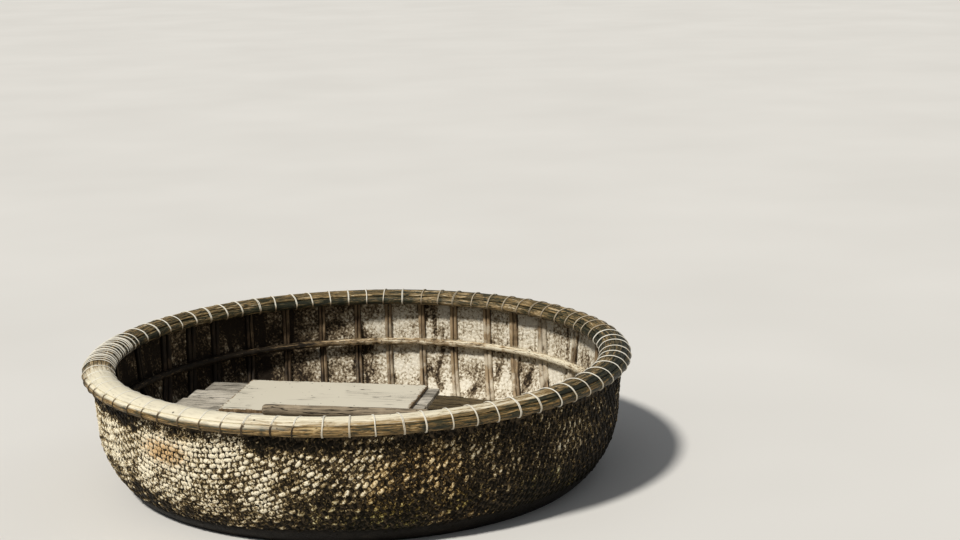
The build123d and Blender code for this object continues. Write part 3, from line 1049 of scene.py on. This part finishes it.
def weave_strips(name, long_way, inside, seed, low, top, relief, material):
    """Lay one family of a plain weave on the bowl, as raised strip pieces between crossings."""
    settings = bpy.context.scene.coracle_bowl
    rng = np.random.default_rng(seed)
    long_pitch = settings.weave_long
    cross_pitch = settings.weave_cross
    # A long strip spans its own crossing and dives under the next; a cross strip fills the gap
    if long_way:
        size = (long_pitch * 1.44, cross_pitch * 0.92)
        places = [(0.0, 0.0), (long_pitch, cross_pitch)]
    else:
        size = (cross_pitch * 1.40, long_pitch * 0.58)
        places = [(long_pitch, 0.0), (0.0, cross_pitch)]
    template = strip_template(name, places, long_way, PLAIN_CUTS if inside else FINE_CUTS, size, relief)
    per_strip = len(template.vertices) // 2
    reach = run_to(top) + 0.05
    across = int(reach / long_pitch) + 2
    down = int(reach / cross_pitch) + 2
    mesh = repeat_mesh(
        template, name, [(across, (2.0 * long_pitch, 0.0, 0.0)), (down, (0.0, 2.0 * cross_pitch, 0.0))]
    )
    points = read_points(mesh).reshape(-1, per_strip, 3)
    points[:, :, 0] -= across * long_pitch
    points[:, :, 1] -= down * cross_pitch
    flat = jitter_strips(points, rng, relief)
    # Turn the mat, and lay it on the bowl's face with slightly wavy rows
    turn = settings.weave_turn
    x = flat[:, :, 0] * math.cos(turn) - flat[:, :, 1] * math.sin(turn)
    y = flat[:, :, 0] * math.sin(turn) + flat[:, :, 1] * math.cos(turn)
    angle = np.arctan2(y, x)
    run = np.hypot(x, y) + 0.004 * np.sin(3.0 * angle + 1.0) + 0.003 * np.sin(7.0 * angle)
    lift = flat[:, :, 2]
    if inside:
        lift = -HULL_WALL - lift
    out, up, slope = along_skin(run)
    out = out + lift * np.sin(slope)
    up = up - lift * np.cos(slope)
    write_points(mesh, np.stack([out * np.cos(angle), out * np.sin(angle), up], axis=2).reshape(-1, 3))
    # Tones at random; the cross strips get darker tones, painted shade on the family that lies lower
    tones = rng.uniform(0.30, 1.0, len(flat)) if long_way else rng.uniform(0.0, 0.62, len(flat))
    write_values(mesh, "tone", np.repeat(tones, per_strip))
    write_values(mesh, "along", flat[:, :, 0 if long_way else 1].ravel())
    write_values(mesh, "across", flat[:, :, 1 if long_way else 0].ravel())
    # Drop the pieces below the tar's edge and above the top
    keep_low = low + 0.004 * wander(angle.mean(axis=1), rng, 9)
    gone = np.repeat((up.mean(axis=1) < keep_low) | (up.max(axis=1) > top), per_strip)
    bm = bmesh.new()
    bm.from_mesh(mesh)
    bm.verts.ensure_lookup_table()
    bmesh.ops.delete(bm, geom=[vert for vert in bm.verts if gone[vert.index]], context="VERTS")
    if inside:
        bmesh.ops.reverse_faces(bm, faces=bm.faces[:])
    bm.to_mesh(mesh)
    bm.free()
    set_smooth(mesh)
    link_piece(name, mesh, material)


class CORACLE_OT_bowl(bpy.types.Operator):
    """Cover the bowl with woven strips, outside and inside"""

    bl_idname = "coracle.bowl"
    bl_label = "Woven bowl"

    def execute(self, context):
        settings = context.scene.coracle_bowl
        dress_node("hull_shell", inner_wall_material())
        strips = strip_material()
        inner = inner_strip_material()
        relief = settings.weave_relief
        low = settings.tar_height - UNDER_TAR
        weave_strips("strips_long", True, False, 11, low, STRIP_TOP, relief, strips)
        weave_strips("strips_cross", False, False, 12, low, STRIP_TOP, relief * 0.64, strips)
        weave_strips("inner_strips_long", True, True, 13, INNER_STRIP_LOW, INNER_STRIP_TOP, 0.0027, inner)
        weave_strips("inner_strips_cross", False, True, 14, INNER_STRIP_LOW, INNER_STRIP_TOP, 0.0024, inner)
        return {"FINISHED"}


class CORACLE_OT_tar(bpy.types.Operator):
    """Coat the bottom with tar, up to an uneven edge a little above the water"""

    bl_idname = "coracle.tar"
    bl_label = "Tar coat"

    def execute(self, context):
        rng = np.random.default_rng(21)
        top = context.scene.coracle_bowl.tar_height
        last = run_to(top)
        runs = np.concatenate([
            np.linspace(0.0, 0.70, 12), np.linspace(0.74, last - 0.02, 10), [last - 0.010, last - 0.003, last]
        ])
        out, up, slope = along_skin(runs)
        # The coat is thin at the keel, thick at the side, and tapers off at its edge
        lift = np.interp(runs, (0.0, 0.55, 0.80), (0.0004, 0.0010, 0.0042))
        lift[-3:] = (0.0036, 0.0026, 0.0002)
        profile = list(zip(out + lift * np.sin(slope), up - lift * np.cos(slope)))
        mesh = spin_mesh("tar_coat", profile, 360, closed=False)
        angle, radius, height = ring_place(mesh)
        share = np.clip((height + 0.02) / (top + 0.02), 0.0, 1.0) ** 2
        drift = 0.009 * wander(angle, rng, 9) + 0.004 * wander(angle, rng, 60) + 0.015 * np.cos(angle + 0.7)
        run = np.interp(height, up, runs)
        new_out, new_up, _ = along_skin(run + share * drift)
        old_out, old_up, _ = along_skin(run)
        set_ring(mesh, angle, radius + new_out - old_out, height + new_up - old_up)
        link_piece("tar_coat", mesh, tar_material())
        return {"FINISHED"}


# The rim


def lath_section(width, thick):
    """Corners of a lath's section, crowned on top, as (across, up) from its middle."""
    half = width / 2.0
    low = -thick / 2.0
    high = thick / 2.0
    return [
        (-half + 0.0006, low), (half - 0.0006, low), (half, low + 0.0008), (half, high - 0.0020),
        (half - 0.0014, high - 0.0006), (half * 0.45, high), (-half * 0.45, high),
        (-half + 0.0014, high - 0.0006), (-half, high - 0.0020), (-half, low + 0.0008),
    ]


class CORACLE_OT_laths(bpy.types.Operator):
    """Lay six split laths side by side over the rim's crown"""

    bl_idname = "coracle.laths"
    bl_label = "Rim laths"

    def execute(self, context):
        settings = context.scene.coracle_rim
        pale = tuple(settings.lath_pale)
        dark = tuple(settings.lath_dark)
        material = rim_wood_material("Rim laths", pale, (0.36, 0.245, 0.105), dark, 1.0, 0.08, 0.55)
        middle = CROWN_BEND - LATH_THICK / 2.0
        for number in range(LATH_COUNT):
            rng = np.random.default_rng(31 + number)
            tilt = LATH_STEP * (number - (LATH_COUNT - 1) / 2.0)
            c = math.cos(tilt)
            s = math.sin(tilt)
            centre_out = RIM_MIDDLE + middle * s
            centre_up = CROWN_UP + middle * c
            corners = lath_section(settings.lath_width, LATH_THICK)
            section = [(centre_out + a * c + h * s, centre_up - a * s + h * c) for a, h in corners]
            mesh = spin_mesh(f"split_lath_{number + 1}", section, 720)
            angle, out, up = ring_place(mesh)
            across = (out - centre_out) * c - (up - centre_up) * s
            lift = (out - centre_out) * s + (up - centre_up) * c
            knot = joints_round(angle, rng, 14, 0.008)
            way = np.degrees(angle + 0.05 * wander(angle, rng, 30)) % 360.0
            caked = caked_between(way, 186.0, 252.0)
            top = lift > 0.0
            # Uneven width and thickness, with a ridge at each knot
            across = across * (1.0 + 0.035 * wander(angle, rng, 24)) + 0.0006 * wander(angle, rng, 30)
            lift = lift + 0.0004 * wander(angle, rng, 40) + 0.0005 * knot * top
            lift = lift + across * 0.05 * wander(angle, rng, 18)
            # Where mud cakes the rim, the laths close up into one smooth crown
            wide = np.clip(across * 1.12, -0.00752, 0.00752)
            across = across + caked * (wide - across)
            flush = np.sqrt(CROWN_BEND**2 - across**2) - middle + 0.0002 * wander(angle, rng, 50)
            lift = np.where(top, lift + caked * (flush - lift), lift)
            out = centre_out + across * c + lift * s
            up = centre_up - across * s + lift * c
            set_ring(mesh, angle, out, np.minimum(up, RIM_TOP + 0.0007))
            write_values(mesh, "tone", mottle(angle, rng, 5))
            write_values(mesh, "knot", knot)
            write_values(mesh, "caked", caked)
            link_piece(mesh.name, mesh, material, (f"rim_lath_{number + 1}",))
        return {"FINISHED"}


class CORACLE_OT_hoops(bpy.types.Operator):
    """Put the outer, inner and clamp hoops under the laths"""

    bl_idname = "coracle.hoops"
    bl_label = "Rim hoops"

    def execute(self, context):
        settings = context.scene.coracle_rim
        dark = tuple(settings.lath_dark)
        golden = (0.58, 0.45, 0.24)
        tan = (0.29, 0.18, 0.065)
        self.outer_hoop(rim_wood_material("Rim hoops", golden, tan, dark, 0.46, 0.30))
        pale = shaded(tuple(settings.lath_pale), 0.9)
        round_wood = rim_wood_material("Round bamboo", pale, (0.36, 0.25, 0.115), dark, 0.80, 0.0)
        self.inner_hoop(round_wood)
        dress_node("rim_clamp_hoop", round_wood)
        return {"FINISHED"}

    def outer_hoop(self, wood):
        """A half-round hoop outside the bowl, with one groove between its two splits."""
        back = float(reach_at(OUTER_SKIN, np.array(HOOP_UP + HOOP_RADIUS))) + GAP
        section = []
        for turn in (-128, -108, -86, -68, -54, -46, -40, -30, -12, 8, 28, 48, 70, 92, 112, 128):
            radius = HOOP_RADIUS - (0.0022 if turn == -46 else 0.0)
            out, up = arc(RIM_MIDDLE + HOOP_OUT, HOOP_UP, radius, [turn])[0]
            section.append((max(out, back), up))
        mesh = spin_mesh("outer_hoop", section, 720)
        rng = np.random.default_rng(41)
        angle, out, up = ring_place(mesh)
        knot = joints_round(angle, rng, 13, 0.009)
        proud = np.clip((out - back) / 0.02, 0.0, 1.0)
        out = out + proud * (0.0007 * knot + 0.0006 * wander(angle, rng, 30))
        out = np.minimum(out, RIM_MIDDLE + HOOP_OUT + HOOP_RADIUS + 0.0006)
        up = up + 0.0006 * wander(angle, rng, 22)
        set_ring(mesh, angle, out, up)
        write_values(mesh, "tone", np.where(up < HOOP_UP - 0.0120, 0.95, mottle(angle, rng, 7)))
        write_values(mesh, "knot", knot)
        caked = caked_between(np.degrees(angle) % 360.0, 186.0, 258.0)
        edge = up - HOOP_UP - 0.008 + 0.0030 * wander(angle, rng, 50)
        write_values(mesh, "caked", caked * np.clip(edge / 0.003, 0.0, 1.0))
        link_piece("outer_hoop", mesh, wood, ("rim_outer_hoop",))

    def inner_hoop(self, wood):
        """A whole round bamboo inside the bowl."""
        centre = RIM_MIDDLE - HOOP_OUT
        section = arc(centre, HOOP_UP, HOOP_RADIUS - 0.0006, np.arange(16) * 22.5)
        mesh = spin_mesh("inner_hoop", section, 540)
        rng = np.random.default_rng(42)
        angle, out, up = ring_place(mesh)
        knot = joints_round(angle, rng, 12, 0.011)
        grow = 1.0 + 0.03 * knot + 0.02 * wander(angle, rng, 20)
        out = centre + np.clip((out - centre) * grow, -0.0173, 0.0170)
        up = HOOP_UP + np.clip((up - HOOP_UP) * grow, -0.0173, 0.0170)
        set_ring(mesh, angle, out, up)
        write_values(mesh, "tone", mottle(angle, rng, 6))
        write_values(mesh, "knot", knot)
        link_piece("inner_hoop", mesh, wood, ("rim_inner_hoop",))


def cord_turns(radius):
    """Two turns of cord side by side round the rim bundle, as a mesh at angle 0."""
    gap = radius + 0.0004
    foot = HOOP_UP - HOOP_RADIUS - radius
    hoop = HOOP_RADIUS + gap
    crown = CROWN_BEND + gap + 0.0006
    route = [(CORD_END_OUTSIDE, foot)]
    route += arc(RIM_MIDDLE + HOOP_OUT, HOOP_UP, hoop, (-80, -62, -44, -26, -8, 10, 28))
    route += arc(RIM_MIDDLE, CROWN_UP, crown, (57, 64, 71, 78, 84, 90, 96, 102, 109, 116, 123))
    route += arc(RIM_MIDDLE - HOOP_OUT, HOOP_UP, hoop, (152, 170, 188, 206, 224, 242, 260))
    route += [(CORD_END_INSIDE, foot)]
    curve = bpy.data.curves.new("cord_route", "CURVE")
    curve.dimensions = "3D"
    curve.bevel_depth = radius
    curve.bevel_resolution = 2
    curve.resolution_u = 2
    for side in (-1.0, 1.0):
        spline = curve.splines.new("NURBS")
        spline.points.add(len(route) - 1)
        for point, (out, up) in zip(spline.points, route):
            point.co = (out, side * (radius + 0.0001), up, 1.0)
        spline.order_u = 3
        spline.use_endpoint_u = True
    carrier = bpy.data.objects.new("cord_route", curve)
    bpy.context.scene.collection.objects.link(carrier)
    return mesh_of(carrier)


class CORACLE_OT_lashings(bpy.types.Operator):
    """Lash the rim with cord, two turns at each place"""

    bl_idname = "coracle.lashings"
    bl_label = "Cord lashings"

    def execute(self, context):
        settings = context.scene.coracle_rim
        single = cord_turns(settings.cord_size / 2.0)
        base = read_points(single)
        # How far each point lies round the bundle, from outside over the crown to inside
        sweep = np.arctan2(base[:, 2] - HOOP_UP + 0.02, base[:, 0] - RIM_MIDDLE)
        over = np.clip((sweep - 0.55) / 0.35, 0.0, 1.0) * np.clip((2.9 - sweep) / 0.3, 0.0, 1.0)
        bound = settings.cord_count
        count = bound + TIGHT_WRAPS
        mesh = repeat_mesh(single, "cord_lashings", [(count, (0.0, 0.0, 0.0))])
        rng = np.random.default_rng(51)
        every = read_points(mesh).reshape(count, -1, 3)
        turns = FULL_TURN * np.arange(count) / bound + rng.normal(0.0, 0.0035, count)
        turns[bound:] = TIGHT_START + TIGHT_STEP * np.arange(count - bound)
        lean = rng.normal(0.0, 0.0035, count)
        cross = rng.uniform(-1.0, 1.0, count)
        tones = []
        for k in range(count):
            spot = every[k]
            aside = spot[:, 1] + lean[k] * np.cos(sweep)
            aside = aside + 0.0011 * cross[k] * np.sign(spot[:, 1]) * np.sin(2.0 * sweep)
            aside = aside + 0.0006 * np.sin(5.0 * sweep + 6.0 * cross[k])
            c = math.cos(turns[k])
            s = math.sin(turns[k])
            every[k] = np.stack([spot[:, 0] * c - aside * s, spot[:, 0] * s + aside * c, spot[:, 2]], axis=1)
            # Tone over the crown and at the ends below the bundle, by the side of the boat; at the left the
            # ends are dark and the crown white
            way = math.degrees(turns[k]) % 360.0
            clean, ends = 0.85, 0.66
            if 80.0 < way < 162.0:
                ends = 0.30
            if 192.0 < way < 258.0:
                clean, ends = 1.05, 0.10
                every[k, :, 2] -= 0.0019 * over
            if 5.0 < way < 75.0:
                clean, ends = 0.50, 0.34
            tones.append(ends + (clean - ends) * over + rng.normal(0.0, 0.05))
        write_points(mesh, every.reshape(-1, 3))
        write_values(mesh, "tone", np.concatenate(tones))
        write_values(mesh, "along", np.tile(sweep * 0.075, count))
        set_smooth(mesh)
        link_piece("cord_lashings", mesh, cord_material(), ("rim_lashings",))
        return {"FINISHED"}


# The ribs


def on_layer(shape, place, sweep, depth, swap):
    """Points on a layer in the plane at place; sweep goes from one rib head (-1) to the other (1)."""
    turn = sweep * math.pi / 2.0
    low = np.zeros_like(turn)
    high = np.full_like(turn, 1.3)
    for _ in range(36):
        reach = (low + high) / 2.0
        along = reach * np.sin(turn)
        up = RIB_HEAD - reach * np.cos(turn)
        within = np.hypot(place, along) < reach_at(shape, up)
        low = np.where(within, reach, low)
        high = np.where(within, high, reach)
    along = low * np.sin(turn)
    up = RIB_HEAD - low * np.cos(turn)
    out = np.hypot(place, along)
    slope = slope_at(shape, out, up)
    scale = (out - depth * np.sin(slope)) / np.maximum(out, 1e-6)
    up = up + depth * np.cos(slope)
    if swap:
        return np.stack([along * scale, place * scale, up], axis=1)
    return np.stack([place * scale, along * scale, up], axis=1)


def add_half_rib(bm, layers, shape, place, side, width, swap, rng):
    """Bend one half-split bamboo, on one side of a rib's middle, to a layer of the bowl."""
    verts = [bm.verts.new((across, 0.0, high)) for across, high in RIB_SECTION]
    edges = [bm.edges.new((verts[k], verts[(k + 1) % len(verts)])) for k in range(len(verts))]
    rows, _ = extrude_rows(bm, verts, edges, RIB_STEPS)
    bm.faces.new(rows[0])
    bm.faces.new(rows[-1])
    every = [vert for row in rows for vert in row]
    across = np.array([vert.co.x for vert in every])
    high = np.array([vert.co.z for vert in every])
    sweep = np.repeat(np.linspace(-1.0, 1.0, RIB_STEPS + 1), len(RIB_SECTION))
    thick = 0.0118 + rng.uniform(-0.0012, 0.0014)
    knots = np.zeros_like(sweep)
    for spot in np.arange(-0.95, 0.95, 0.22) + rng.uniform(-0.05, 0.05):
        knots += np.exp(-(((sweep - spot) / 0.010) ** 2))
    sway = 0.0009 * np.sin(sweep * 9.0 + rng.uniform(0, 6))
    sway = sway + 0.0006 * np.sin(sweep * 21.0 + rng.uniform(0, 6))
    half = width / 4.0 - GAP
    aside = place + side * (width / 4.0) + across * half * (1.0 - 0.05 * np.sin(sweep * 6.0 + side)) + sway
    aside = np.clip(aside, place - width / 2.0 - 0.0012, place + width / 2.0 + 0.0012)
    depth = 0.0002 + high * np.minimum(thick + 0.0010 * knots, RIB_THICK - 0.0004)
    points = on_layer(shape, aside, sweep, depth, swap)
    tone = rng.uniform(0.0, 1.0)
    for k, vert in enumerate(every):
        vert.co = points[k]
        vert[layers["tone"]] = tone
        vert[layers["along"]] = sweep[k] * 1.1
        vert[layers["border"]] = abs(across[k])
        vert[layers["knot"]] = knots[k]


def rib_piece(name, parts, shape, swap, seed, nodes, material):
    """One piece of several ribs, each a pair of half-split bamboos."""
    width = bpy.context.scene.coracle_inside.rib_width
    rng = np.random.default_rng(seed)
    bm = bmesh.new()
    for label in ("tone", "along", "border", "knot"):
        bm.verts.layers.float.new(label)
    layers = {label: bm.verts.layers.float[label] for label in ("tone", "along", "border", "knot")}
    for part_of_rim in parts:
        for side in (-1.0, 1.0):
            add_half_rib(bm, layers, shape, part_of_rim * RIM_MIDDLE, side, width, swap, rng)
    bmesh.ops.recalc_face_normals(bm, faces=bm.faces[:])
    link_piece(name, finish_mesh(bm, name), material, nodes)


class CORACLE_OT_ribs(bpy.types.Operator):
    """Bend two layers of split bamboo ribs into the bowl"""

    bl_idname = "coracle.ribs"
    bl_label = "Ribs"

    def execute(self, context):
        material = rib_material()
        lower = numbered("lower_rib", len(LOWER_RIBS), 2)
        upper = numbered("upper_rib", len(UPPER_RIBS), 2)
        rib_piece("ribs_lower", LOWER_RIBS, LOWER_BACK, False, 61, lower, material)
        rib_piece("ribs_upper", UPPER_RIBS, UPPER_BACK, True, 62, upper, material)
        return {"FINISHED"}


class CORACLE_OT_wall_hoop(bpy.types.Operator):
    """Press the ribs to the wall with a bamboo hoop, bound where it was joined"""

    bl_idname = "coracle.wall_hoop"
    bl_label = "Wall hoop"

    def execute(self, context):
        low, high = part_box("wall_hoop")
        radius = (high[2] - low[2]) / 2.0
        middle_up = (high[2] + low[2]) / 2.0
        middle_out = high[0] - radius
        section = arc(middle_out, middle_up, radius - 0.0006, np.arange(14) * 360.0 / 14.0)
        mesh = spin_mesh("wall_bamboo", section, 1200)
        rng = np.random.default_rng(71)
        angle, out, up = ring_place(mesh)
        knot = joints_round(angle, rng, 16, 0.012)
        grow = 1.0 + 0.035 * knot + 0.05 * wander(angle, rng, 40)
        # Binding that winds round it in bound stretches
        bound = np.clip(3.0 * wander(angle + 2.0, rng, 7) + 0.5, 0.0, 1.0)
        wound = np.maximum(0.0, np.sin(np.arctan2(up - middle_up, out - middle_out) - 92.0 * angle)) ** 0.6
        grow = grow + 0.10 + bound * (0.02 + 0.22 * wound)
        out = middle_out + np.clip((out - middle_out) * grow, -radius - 0.002, radius)
        up = middle_up + (up - middle_up) * grow
        set_ring(mesh, angle, out, up)
        write_values(mesh, "tone", mottle(angle, rng, 8))
        write_values(mesh, "knot", knot)
        pale = tuple(context.scene.coracle_rim.lath_pale)
        wood = rim_wood_material("Wall hoop", pale, (0.42, 0.29, 0.15), (0.035, 0.024, 0.014), inside=True)
        link_piece("wall_bamboo", mesh, wood, ("wall_hoop",))
        return {"FINISHED"}


# The floor and the deck


def add_plank(bm, corner, size, turn, rng, tone_layer, cuts, ragged):
    """Add one sawn plank: corner and size in its own frame, turned about Z."""
    start = len(bm.verts)
    made = bmesh.ops.create_cube(bm, size=1.0)
    for vert in made["verts"]:
        for axis in range(3):
            vert.co[axis] = corner[axis] + (vert.co[axis] + 0.5) * size[axis]
    edges = {edge for vert in made["verts"] for edge in vert.link_edges}
    long_edges = [edge for edge in edges if abs(edge.verts[0].co.x - edge.verts[1].co.x) > 1e-6]
    long_edges.sort(key=lambda edge: (round(edge.verts[0].co.y, 5), round(edge.verts[0].co.z, 5)))
    bmesh.ops.subdivide_edges(bm, edges=long_edges, cuts=cuts)
    bm.verts.ensure_lookup_table()
    phase = rng.uniform(0.0, 6.28, 6)
    tone = rng.uniform(0.0, 1.0)
    bow = rng.uniform(-1.0, 1.0)
    c = math.cos(turn)
    s = math.sin(turn)
    for vert in bm.verts[start:]:
        a = (vert.co.x - corner[0]) / size[0]
        b = (vert.co.y - corner[1]) / size[1]
        # Wavy long edges, a slightly uneven top and ragged ends
        inward = 0.5 * (1.0 + math.sin(a * 13.0 + phase[2 if b > 0.5 else 3]))
        vert.co.y -= (1.0 if b > 0.5 else -1.0) * PLANK_WARP * 1.6 * inward
        if vert.co.z > corner[2] + size[2] / 2.0:
            wave = math.sin(a * 9.0 + phase[0]) + 0.6 * math.sin(a * 23.0 + phase[1])
            vert.co.z -= PLANK_WARP * 0.5 * (1.0 + 0.5 * (wave + bow * (b - 0.5)))
        if ragged and (a < 0.001 or a > 0.999):
            vert.co.x += ragged * (0.5 + 0.5 * math.sin(phase[4] + 3.0 * b)) * (1.0 if a < 0.5 else -1.0)
        vert[tone_layer] = tone
        vert.co.x, vert.co.y = vert.co.x * c - vert.co.y * s, vert.co.x * s + vert.co.y * c


def plank_piece(name, planks, turn, seed, nodes, material, cuts, ragged=0.0):
    """One piece of several planks, with worn edges."""
    rng = np.random.default_rng(seed)
    bm = bmesh.new()
    tone_layer = bm.verts.layers.float.new("tone")
    for corner, size in planks:
        add_plank(bm, corner, size, turn, rng, tone_layer, cuts, ragged)
    bmesh.ops.recalc_face_normals(bm, faces=bm.faces[:])
    piece = link_piece(name, finish_mesh(bm, name, smooth=False), material, nodes)
    bevel = piece.modifiers.new("Worn edges", "BEVEL")
    bevel.width = bpy.context.scene.coracle_inside.board_edge
    bevel.segments = 2
    bevel.limit_method = "ANGLE"
    bevel.angle_limit = math.radians(50.0)


class CORACLE_OT_floor(bpy.types.Operator):
    """Lay the plank floor on its bearers"""

    bl_idname = "coracle.floor"
    bl_label = "Plank floor"

    def execute(self, context):
        base = tuple(context.scene.coracle_inside.floor_color)
        wood = board_material("Floor wood", FLOOR_TURN, base, (0.38, 0.30, 0.18))
        half = PLANK_WIDTH / 2.0
        planks = []
        for number in range(PLANK_COUNT):
            middle = (number - (PLANK_COUNT - 1) / 2.0) * PLANK_STEP
            reach = math.sqrt(FLOOR_RADIUS**2 - (abs(middle) + half) ** 2)
            corner = (-reach, middle - half, FLOOR_TOP - PLANK_THICK)
            planks.append((corner, (2.0 * reach, PLANK_WIDTH, PLANK_THICK)))
        nodes = numbered("floor_plank", PLANK_COUNT, 2)
        plank_piece("floor_boards", planks, FLOOR_TURN, 81, nodes, wood, 22, 0.004)
        for name in numbered("floor_bearer", 3):
            dress_node(name, wood)
        return {"FINISHED"}


class CORACLE_OT_deck(bpy.types.Operator):
    """Set the raised deck at the left: planks, bearers and the painted board"""

    bl_idname = "coracle.deck"
    bl_label = "Raised deck"

    def execute(self, context):
        pale_wood = board_material("Deck wood", DECK_TURN, (0.58, 0.53, 0.44), (0.78, 0.74, 0.66))
        planks = []
        for number, left in enumerate(DECK_LEFT_ENDS):
            corner = (left, DECK_FRONT + number * DECK_PLANK_STEP, DECK_UNDERSIDE)
            planks.append((corner, (DECK_RIGHT - left, DECK_PLANK_WIDTH, PLANK_THICK)))
        nodes = numbered("deck_plank", len(planks))
        plank_piece("deck_boards", planks, DECK_TURN, 91, nodes, pale_wood, 16, 0.005)
        bearers = []
        for place in BEARER_PLACES:
            bearers.append(((place - BEARER_SIZE[0] / 2.0, DECK_FRONT, FLOOR_TOP), BEARER_SIZE))
        nodes = ("deck_bearer_left", "deck_bearer_right")
        plank_piece("deck_supports", bearers, DECK_TURN, 92, nodes, pole_wood(), 2)
        board = [(BOARD_CORNER, BOARD_SIZE)]
        nodes = ("deck_board",)
        plank_piece("painted_deck_board", board, DECK_TURN, 93, nodes, paint_material(), 40)
        return {"FINISHED"}


class CORACLE_OT_pole(bpy.types.Operator):
    """Lay the round pole along the board's front edge"""

    bl_idname = "coracle.pole"
    bl_label = "Deck pole"

    def execute(self, context):
        rng = np.random.default_rng(95)
        bm = bmesh.new()
        tone_layer = bm.verts.layers.float.new("tone")
        made = bmesh.ops.create_circle(bm, cap_ends=False, segments=20, radius=POLE_RADIUS)
        ring = bm.edges[:]
        # Places along the pole, and its girth there, rounded at both ends
        places = [0.0, 0.004, 0.011] + list(np.linspace(0.03, 0.61, 30)) + [0.629, 0.636, 0.640]
        girths = [0.72, 0.90, 0.98] + [1.0] * 30 + [0.98, 0.90, 0.72]
        bmesh.ops.contextual_create(bm, geom=ring)
        rows, last = extrude_rows(bm, made["verts"], ring, len(places) - 1)
        bmesh.ops.contextual_create(bm, geom=last)
        lie = Matrix.Rotation(DECK_TURN, 3, "Z")
        for row, place, girth in zip(rows, places, girths):
            grow = girth * (1.0 + 0.02 * math.sin(place * 31.0) + rng.uniform(-0.006, 0.006))
            for vert in row:
                a = vert.co.x
                b = vert.co.y
                size = grow * (1.0 + 0.012 * math.sin(3.0 * math.atan2(b, a) + place * 8.0))
                vert.co = lie @ (POLE_START + Vector((place, a * size, b * size)))
                vert[tone_layer] = 0.5
        bmesh.ops.recalc_face_normals(bm, faces=bm.faces[:])
        link_piece("edge_pole", finish_mesh(bm, "edge_pole"), pole_wood(), ("deck_pole",))
        return {"FINISHED"}


class CORACLE_OT_stage(bpy.types.Operator):
    """Place the camera, the lights and a pale floor at the water's height"""

    bl_idname = "coracle.stage"
    bl_label = "Stage"

    def execute(self, context):
        scene = context.scene
        view = bpy.data.cameras.new("camera")
        view.lens = CAMERA_LENS
        view.sensor_width = 36.0
        view.clip_end = 200.0
        camera = bpy.data.objects.new("camera", view)
        scene.collection.objects.link(camera)
        camera.location = CAMERA_PLACE
        aim = Matrix.Rotation(CAMERA_YAW, 4, "Z")
        aim = aim @ Matrix.Rotation(CAMERA_PITCH, 4, "X")
        aim = aim @ Matrix.Rotation(CAMERA_ROLL, 4, "Z")
        camera.rotation_euler = aim.to_euler()
        scene.camera = camera
        sun = bpy.data.lights.new("key", "SUN")
        sun.energy = 3.3
        sun.angle = math.radians(7.0)
        sun.color = (1.0, 0.96, 0.89)
        key = bpy.data.objects.new("key", sun)
        scene.collection.objects.link(key)
        direction = Vector((1.0, 0.0, 0.0))
        direction.rotate(Matrix.Rotation(-SUN_HEIGHT, 3, "Y"))
        direction.rotate(Matrix.Rotation(SUN_WAY, 3, "Z"))
        key.rotation_euler = direction.to_track_quat("Z", "Y").to_euler()
        world = bpy.data.worlds.new("studio")
        scene.world = world
        world.use_nodes = True
        sky = world.node_tree.nodes["Background"]
        sky.inputs["Color"].default_value = (0.93, 0.96, 1.0, 1.0)
        sky.inputs["Strength"].default_value = 0.24
        scene.view_settings.view_transform = "Standard"
        self.add_floor(scene)
        return {"FINISHED"}

    def add_floor(self, scene):
        """A pale floor at the waterline, open under the hull."""
        material, tree, shader = new_material("Studio floor", 0.9)
        cloud = noise(tree, object_place(tree), 0.6, 2.0)
        color = ramp(tree, cloud, [(0.3, (0.70, 0.69, 0.665)), (0.7, (0.74, 0.73, 0.705))])
        tree.links.new(color, shader.inputs["Base Color"])
        profile = [(WATERLINE_RADIUS, 0.0), (FLOOR_REACH, 0.0)]
        mesh = spin_mesh("studio_floor", profile, 180, closed=False, smooth=False)
        if mesh.polygons[0].normal.z < 0.0:
            mesh.flip_normals()
        mesh.materials.append(material)
        floor = bpy.data.objects.new("studio_floor", mesh)
        scene.collection.objects.link(floor)


class CORACLE_PT_panel(bpy.types.Panel):
    """Sidebar panel with the boat's sizes, colours and steps"""

    bl_idname = "CORACLE_PT_panel"
    bl_label = "Woven coracle"
    bl_space_type = "VIEW_3D"
    bl_region_type = "UI"
    bl_category = "Coracle"

    def draw(self, context):
        for settings in (context.scene.coracle_bowl, context.scene.coracle_rim, context.scene.coracle_inside):
            box = self.layout.box()
            for key in settings.bl_rna.properties.keys():
                if key not in ("rna_type", "name"):
                    box.prop(settings, key)
        for operator in OPERATORS:
            self.layout.operator(operator.bl_idname)


OPERATORS = (
    CORACLE_OT_stage,
    CORACLE_OT_lashings,
    CORACLE_OT_laths,
    CORACLE_OT_hoops,
    CORACLE_OT_bowl,
    CORACLE_OT_tar,
    CORACLE_OT_ribs,
    CORACLE_OT_wall_hoop,
    CORACLE_OT_floor,
    CORACLE_OT_deck,
    CORACLE_OT_pole,
)
CLASSES = (BowlSettings, RimSettings, InsideSettings) + OPERATORS + (CORACLE_PT_panel,)


def register():
    for cls in CLASSES:
        bpy.utils.register_class(cls)
    bpy.types.Scene.coracle_bowl = PointerProperty(type=BowlSettings)
    bpy.types.Scene.coracle_rim = PointerProperty(type=RimSettings)
    bpy.types.Scene.coracle_inside = PointerProperty(type=InsideSettings)


def unregister():
    del bpy.types.Scene.coracle_inside
    del bpy.types.Scene.coracle_rim
    del bpy.types.Scene.coracle_bowl
    for cls in reversed(CLASSES):
        bpy.utils.unregister_class(cls)


def main():
    register()
    bpy.ops.coracle.stage()
    bpy.ops.coracle.lashings()
    bpy.ops.coracle.laths()
    bpy.ops.coracle.hoops()
    bpy.ops.coracle.bowl()
    bpy.ops.coracle.tar()
    bpy.ops.coracle.ribs()
    bpy.ops.coracle.wall_hoop()
    bpy.ops.coracle.floor()
    bpy.ops.coracle.deck()
    bpy.ops.coracle.pole()


if __name__ == "__main__":
    main()
